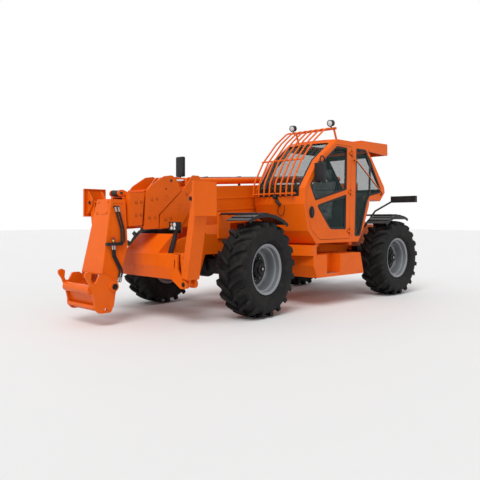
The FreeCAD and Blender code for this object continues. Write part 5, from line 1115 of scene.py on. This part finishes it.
class HANDLER_OT_mirrors(bpy.types.Operator):
    """Mirrors with soft-cornered shells, glass, clamps and bent arms"""
    bl_idname = "handler.mirrors"
    bl_label = "Mirrors"

    def execute(self, context):
        shell = mirror_head("left_mirror_shell", spot(-1162, 1108, 1808), spot(-1093, 1274, 2082), "cab_door")
        arm = bent_bar("left_mirror_arm", spots(
            (-1266, 1091, 2078), (-1266, 1160, 2078), (-1266, 1190, 2082), (-1236, 1190, 2140),
            (-1200, 1190, 2180), (-1150, 1190, 2178), (-1128, 1190, 2130), (-1128, 1190, 2060)), 0.010)
        foot = bar("left_mirror_foot", spot(-1266, 1090, 2078), spot(-1266, 1102, 2078), 0.024, 24)
        clamp = block("left_mirror_clamp", spot(-1146, 1172, 2066), spot(-1110, 1208, 2102))
        whole = together("door_mirror", shell, arm, rounded(foot, 0.003), rounded(clamp, 0.005))
        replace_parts(finished(whole, "cab_door", "black_plastic"), "mirror_left")
        shell = mirror_head("right_mirror_shell", spot(-452, -1162, 1958), spot(-383, -988, 2282), "chassis")
        arm = bent_bar("right_mirror_arm", spots(
            (-828, -1080, 930), (-760, -1080, 930), (-735, -1080, 960), (-690, -1080, 1220), (-642, -1080, 1480),
            (-600, -1080, 1560), (-470, -1080, 1725), (-422, -1080, 1800), (-418, -1080, 1880),
            (-418, -1080, 1980)), 0.014)
        foot = rounded(block("right_mirror_foot", spot(-830, -1110, 900), spot(-816, -1050, 960)), 0.004)
        whole = together("stalk_mirror", shell, arm, foot)
        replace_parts(finished(whole, "chassis", "black_plastic"), "mirror_right")
        return {"FINISHED"}


# Panels

POD_FACE = -1129
TOW_X = -4115
EXHAUST_X, EXHAUST_Y = -2495, -650


class HANDLER_OT_panels(bpy.types.Operator):
    """Grille, latches, covers, fuel cap, step treads, screws, tow pin and exhaust shield"""
    bl_idname = "handler.panels"
    bl_label = "Panel details"

    def execute(self, context):
        self.hood()
        self.pod()
        self.steps()
        self.rear()
        self.shield()
        return {"FINISHED"}

    def hood(self):
        slats = []
        for row in range(13):
            z = 1052 + row * 20
            slats.append(rounded(block("slat", spot(-1935, -1102, z), spot(-1335, -1090, z + 8)), 0.002, 1))
        for x in range(-1920, -1330, 58):
            slats.append(block("rib", spot(x, -1092, 1046), spot(x + 6, -1086, 1310)))
        finished(together("hood_grille", *slats), "engine_hood", "black_plastic")
        for name, x in (("front", -1010), ("rear", -2240)):
            catch = block("hood_latch_" + name, spot(x - 34, -1142, 1006), spot(x + 34, POD_FACE, 1082))
            stepped(catch, (0, -1, 0), (0.010, -0.004), (0.004, 0.005))
            finished(rounded(catch, 0.003), "engine_hood", "black_plastic")

    def pod(self):
        for name, x0, x1 in (("rear", -2360, -1650), ("front", -1630, -880)):
            cover = block("pod_cover_" + name, spot(x0, POD_FACE - 5, 520), spot(x1, POD_FACE, 940))
            stepped(cover, (0, -1, 0), (0.030, 0.0), (0.006, 0.004))
            finished(rounded(cover, 0.002), "chassis", "orange_paint")
            places = [(spot(x, POD_FACE - 5, z), (0, -1, 0))
                      for x in (x0 + 16, (x0 + x1) / 2, x1 - 16) for z in (536, 924)]
            bolts("pod_screws_" + name, places, "chassis", 0.007)
        handle = bent_bar("pod_handle", spots(
            (-1590, -1132, 880), (-1590, -1165, 880), (-1570, -1168, 880), (-1440, -1168, 880),
            (-1420, -1165, 880), (-1420, -1132, 880)), 0.009)
        finished(handle, "chassis", "black_plastic")

    def steps(self):
        cleats = [facing(spot(x, y, 480), (0, 0, 1)) for x in range(-1660, -1350, 34) for y in range(972, 1140, 28)]
        cleat = block("cleat", (-0.011, -0.004, -0.001), (0.011, 0.004, 0.004))
        stepped(cleat, (0, 0, 1), (0.0015, 0.0015))
        bpy.ops.object.mode_set(mode="OBJECT")
        finished(repeated("step_tread", cleat, cleats), "chassis", "bright_steel")
        neck = bar("filler_neck", spot(-980, POD_FACE, 860), spot(-980, -1142, 860), 0.046, 32)
        cap = bar("filler_cap", spot(-980, -1140, 860), spot(-980, -1172, 860), 0.052, 16)
        stepped(cap, (0, -1, 0), (0.012, 0.003))
        finished(together("fuel_cap", neck, rounded(cap, 0.002, 1)), "chassis", "black_plastic")
        places = [(spot(x, 1150, z), (0, 1, 0)) for x in (-2170, -1130) for z in (470, 730)]
        bolts("box_screws", places, "chassis", 0.008, "orange_paint")

    def rear(self):
        pin = bar("tow_pin", spot(TOW_X, 0, 650), spot(TOW_X, 0, 985), 0.0185, 24)
        collar = bar("tow_pin_collar", spot(TOW_X, 0, 951), spot(TOW_X, 0, 966), 0.034, 24)
        loop = bent_bar("tow_pin_loop", [spot(TOW_X, y, z) for y, z in (
            (-8, 976), (-38, 984), (-46, 1024), (0, 1052), (46, 1024), (38, 984), (8, 976))], 0.006)
        whole = together("tow_pin", rounded(pin, 0.003, 1), rounded(collar, 0.003), loop)
        finished(whole, "chassis", "bright_steel")
        places = [(spot(TOW_X, side * 520, z), (0, side, 0)) for side in (1, -1) for z in (800, 1050)]
        bolts("weight_bolts", places, "chassis", 0.022)

    def shield(self):
        def up(z):
            return spot(EXHAUST_X, EXHAUST_Y, z)

        sleeve = bar("exhaust_shield", up(900), up(1440), 0.070, 48)
        sliced(sleeve, [up(z) for z in range(930, 1440, 30)], (0, 0, 1))
        pick(sleeve, lambda middle, normal: abs(normal.z) < 0.5 and round(middle.z * 1000 - 915) // 30 % 2 == 0)
        bpy.ops.mesh.inset(thickness=0.0025, depth=-0.003, use_individual=True)
        finished(rounded(sleeve, 0.001, 1, 50.0), "chassis", "bright_steel")
        tip = bar("exhaust_tip", up(1700), up(1768), 0.036, 40)
        stepped(tip, (0, 0, 1), (0.004, 0.0), (0.0005, -0.007))
        finished(tip, "chassis", "dark_steel")


# Studio

SUN_TURN = (38, -8, 128)
SUN_SOFTNESS = 38
FLOOR_SIZE = 120.0


class HANDLER_OT_studio(bpy.types.Operator):
    """Set up the camera, the floor and the soft light"""
    bl_idname = "handler.studio"
    bl_label = "Build the studio"

    def execute(self, context):
        studio = context.scene.handler_studio
        self.place_camera(studio)
        self.light(studio)
        self.lay_floor(studio)
        context.scene.view_settings.view_transform = "Standard"
        return {"FINISHED"}

    def place_camera(self, studio):
        bpy.ops.object.camera_add(location=studio.camera_place)
        camera = bpy.context.object
        aside = Matrix.Rotation(studio.heading - math.pi / 2, 3, "Z")
        camera.rotation_euler = (aside @ Matrix.Rotation(math.pi / 2 + studio.rise, 3, "X")).to_euler()
        camera.data.sensor_width = 36.0
        camera.data.lens = studio.lens
        camera.data.shift_y = studio.shift
        camera.data.clip_end = 200.0
        bpy.context.scene.camera = camera

    def light(self, studio):
        """Soft sun and even sky; the sky is white where the camera, glass or gloss sees it."""
        bpy.ops.object.light_add(type="SUN", rotation=[math.radians(turn) for turn in SUN_TURN])
        sun = bpy.context.object
        sun.data.energy = studio.sun_strength
        sun.data.angle = math.radians(SUN_SOFTNESS)
        world = bpy.data.worlds.new("studio")
        bpy.context.scene.world = world
        world.use_nodes = True
        nodes, links = world.node_tree.nodes, world.node_tree.links
        rays = nodes.new("ShaderNodeLightPath").outputs
        white = rays["Is Camera Ray"]
        for ray in ("Is Transmission Ray", "Is Glossy Ray"):
            either = nodes.new("ShaderNodeMath")
            either.operation = "MAXIMUM"
            links.new(white, either.inputs[0])
            links.new(rays[ray], either.inputs[1])
            white = either.outputs[0]
        level = nodes.new("ShaderNodeMix")
        level.inputs[2].default_value = studio.sky_strength
        level.inputs[3].default_value = 1.0
        links.new(white, level.inputs[0])
        back = nodes["Background"]
        links.new(level.outputs[0], back.inputs["Strength"])
        back.inputs["Color"].default_value = (1, 1, 1, 1)

    def lay_floor(self, studio):
        bpy.ops.mesh.primitive_plane_add(size=FLOOR_SIZE)
        floor = bpy.context.object
        floor.name = "studio_floor"
        finish = Finish("studio_floor", roughness=0.7)
        grey = (studio.floor_grey,) * 3
        finish.colour(finish.mix(finish.noise(0.6, 3.0), grey, shade(grey, 0.97)))
        floor.data.materials.append(finish.material)


class HANDLER_PT_panel(bpy.types.Panel):
    """Steps that dress the telehandler"""
    bl_idname = "HANDLER_PT_panel"
    bl_label = "Telehandler"
    bl_space_type = "VIEW_3D"
    bl_region_type = "UI"
    bl_category = "Telehandler"

    def draw(self, context):
        for step in STEPS:
            self.layout.operator(step.bl_idname)


STEPS = (
    HANDLER_OT_paint, HANDLER_OT_tyres, HANDLER_OT_wheel_nuts, HANDLER_OT_seals, HANDLER_OT_cab_trim,
    HANDLER_OT_seat, HANDLER_OT_boom_bolts, HANDLER_OT_hose_fittings, HANDLER_OT_lamp_lenses, HANDLER_OT_mirrors,
    HANDLER_OT_panels, HANDLER_OT_studio)
CLASSES = (SizeSettings, PaintSettings, StudioSettings, *STEPS, HANDLER_PT_panel)


def register():
    for kind in CLASSES:
        bpy.utils.register_class(kind)
    bpy.types.Scene.handler_sizes = PointerProperty(type=SizeSettings)
    bpy.types.Scene.handler_paint = PointerProperty(type=PaintSettings)
    bpy.types.Scene.handler_studio = PointerProperty(type=StudioSettings)


def unregister():
    del bpy.types.Scene.handler_studio
    del bpy.types.Scene.handler_paint
    del bpy.types.Scene.handler_sizes
    for kind in reversed(CLASSES):
        bpy.utils.unregister_class(kind)


def main():
    register()
    for step in STEPS:
        group, name = step.bl_idname.split(".")
        getattr(getattr(bpy.ops, group), name)()


if __name__ == "__main__":
    main()
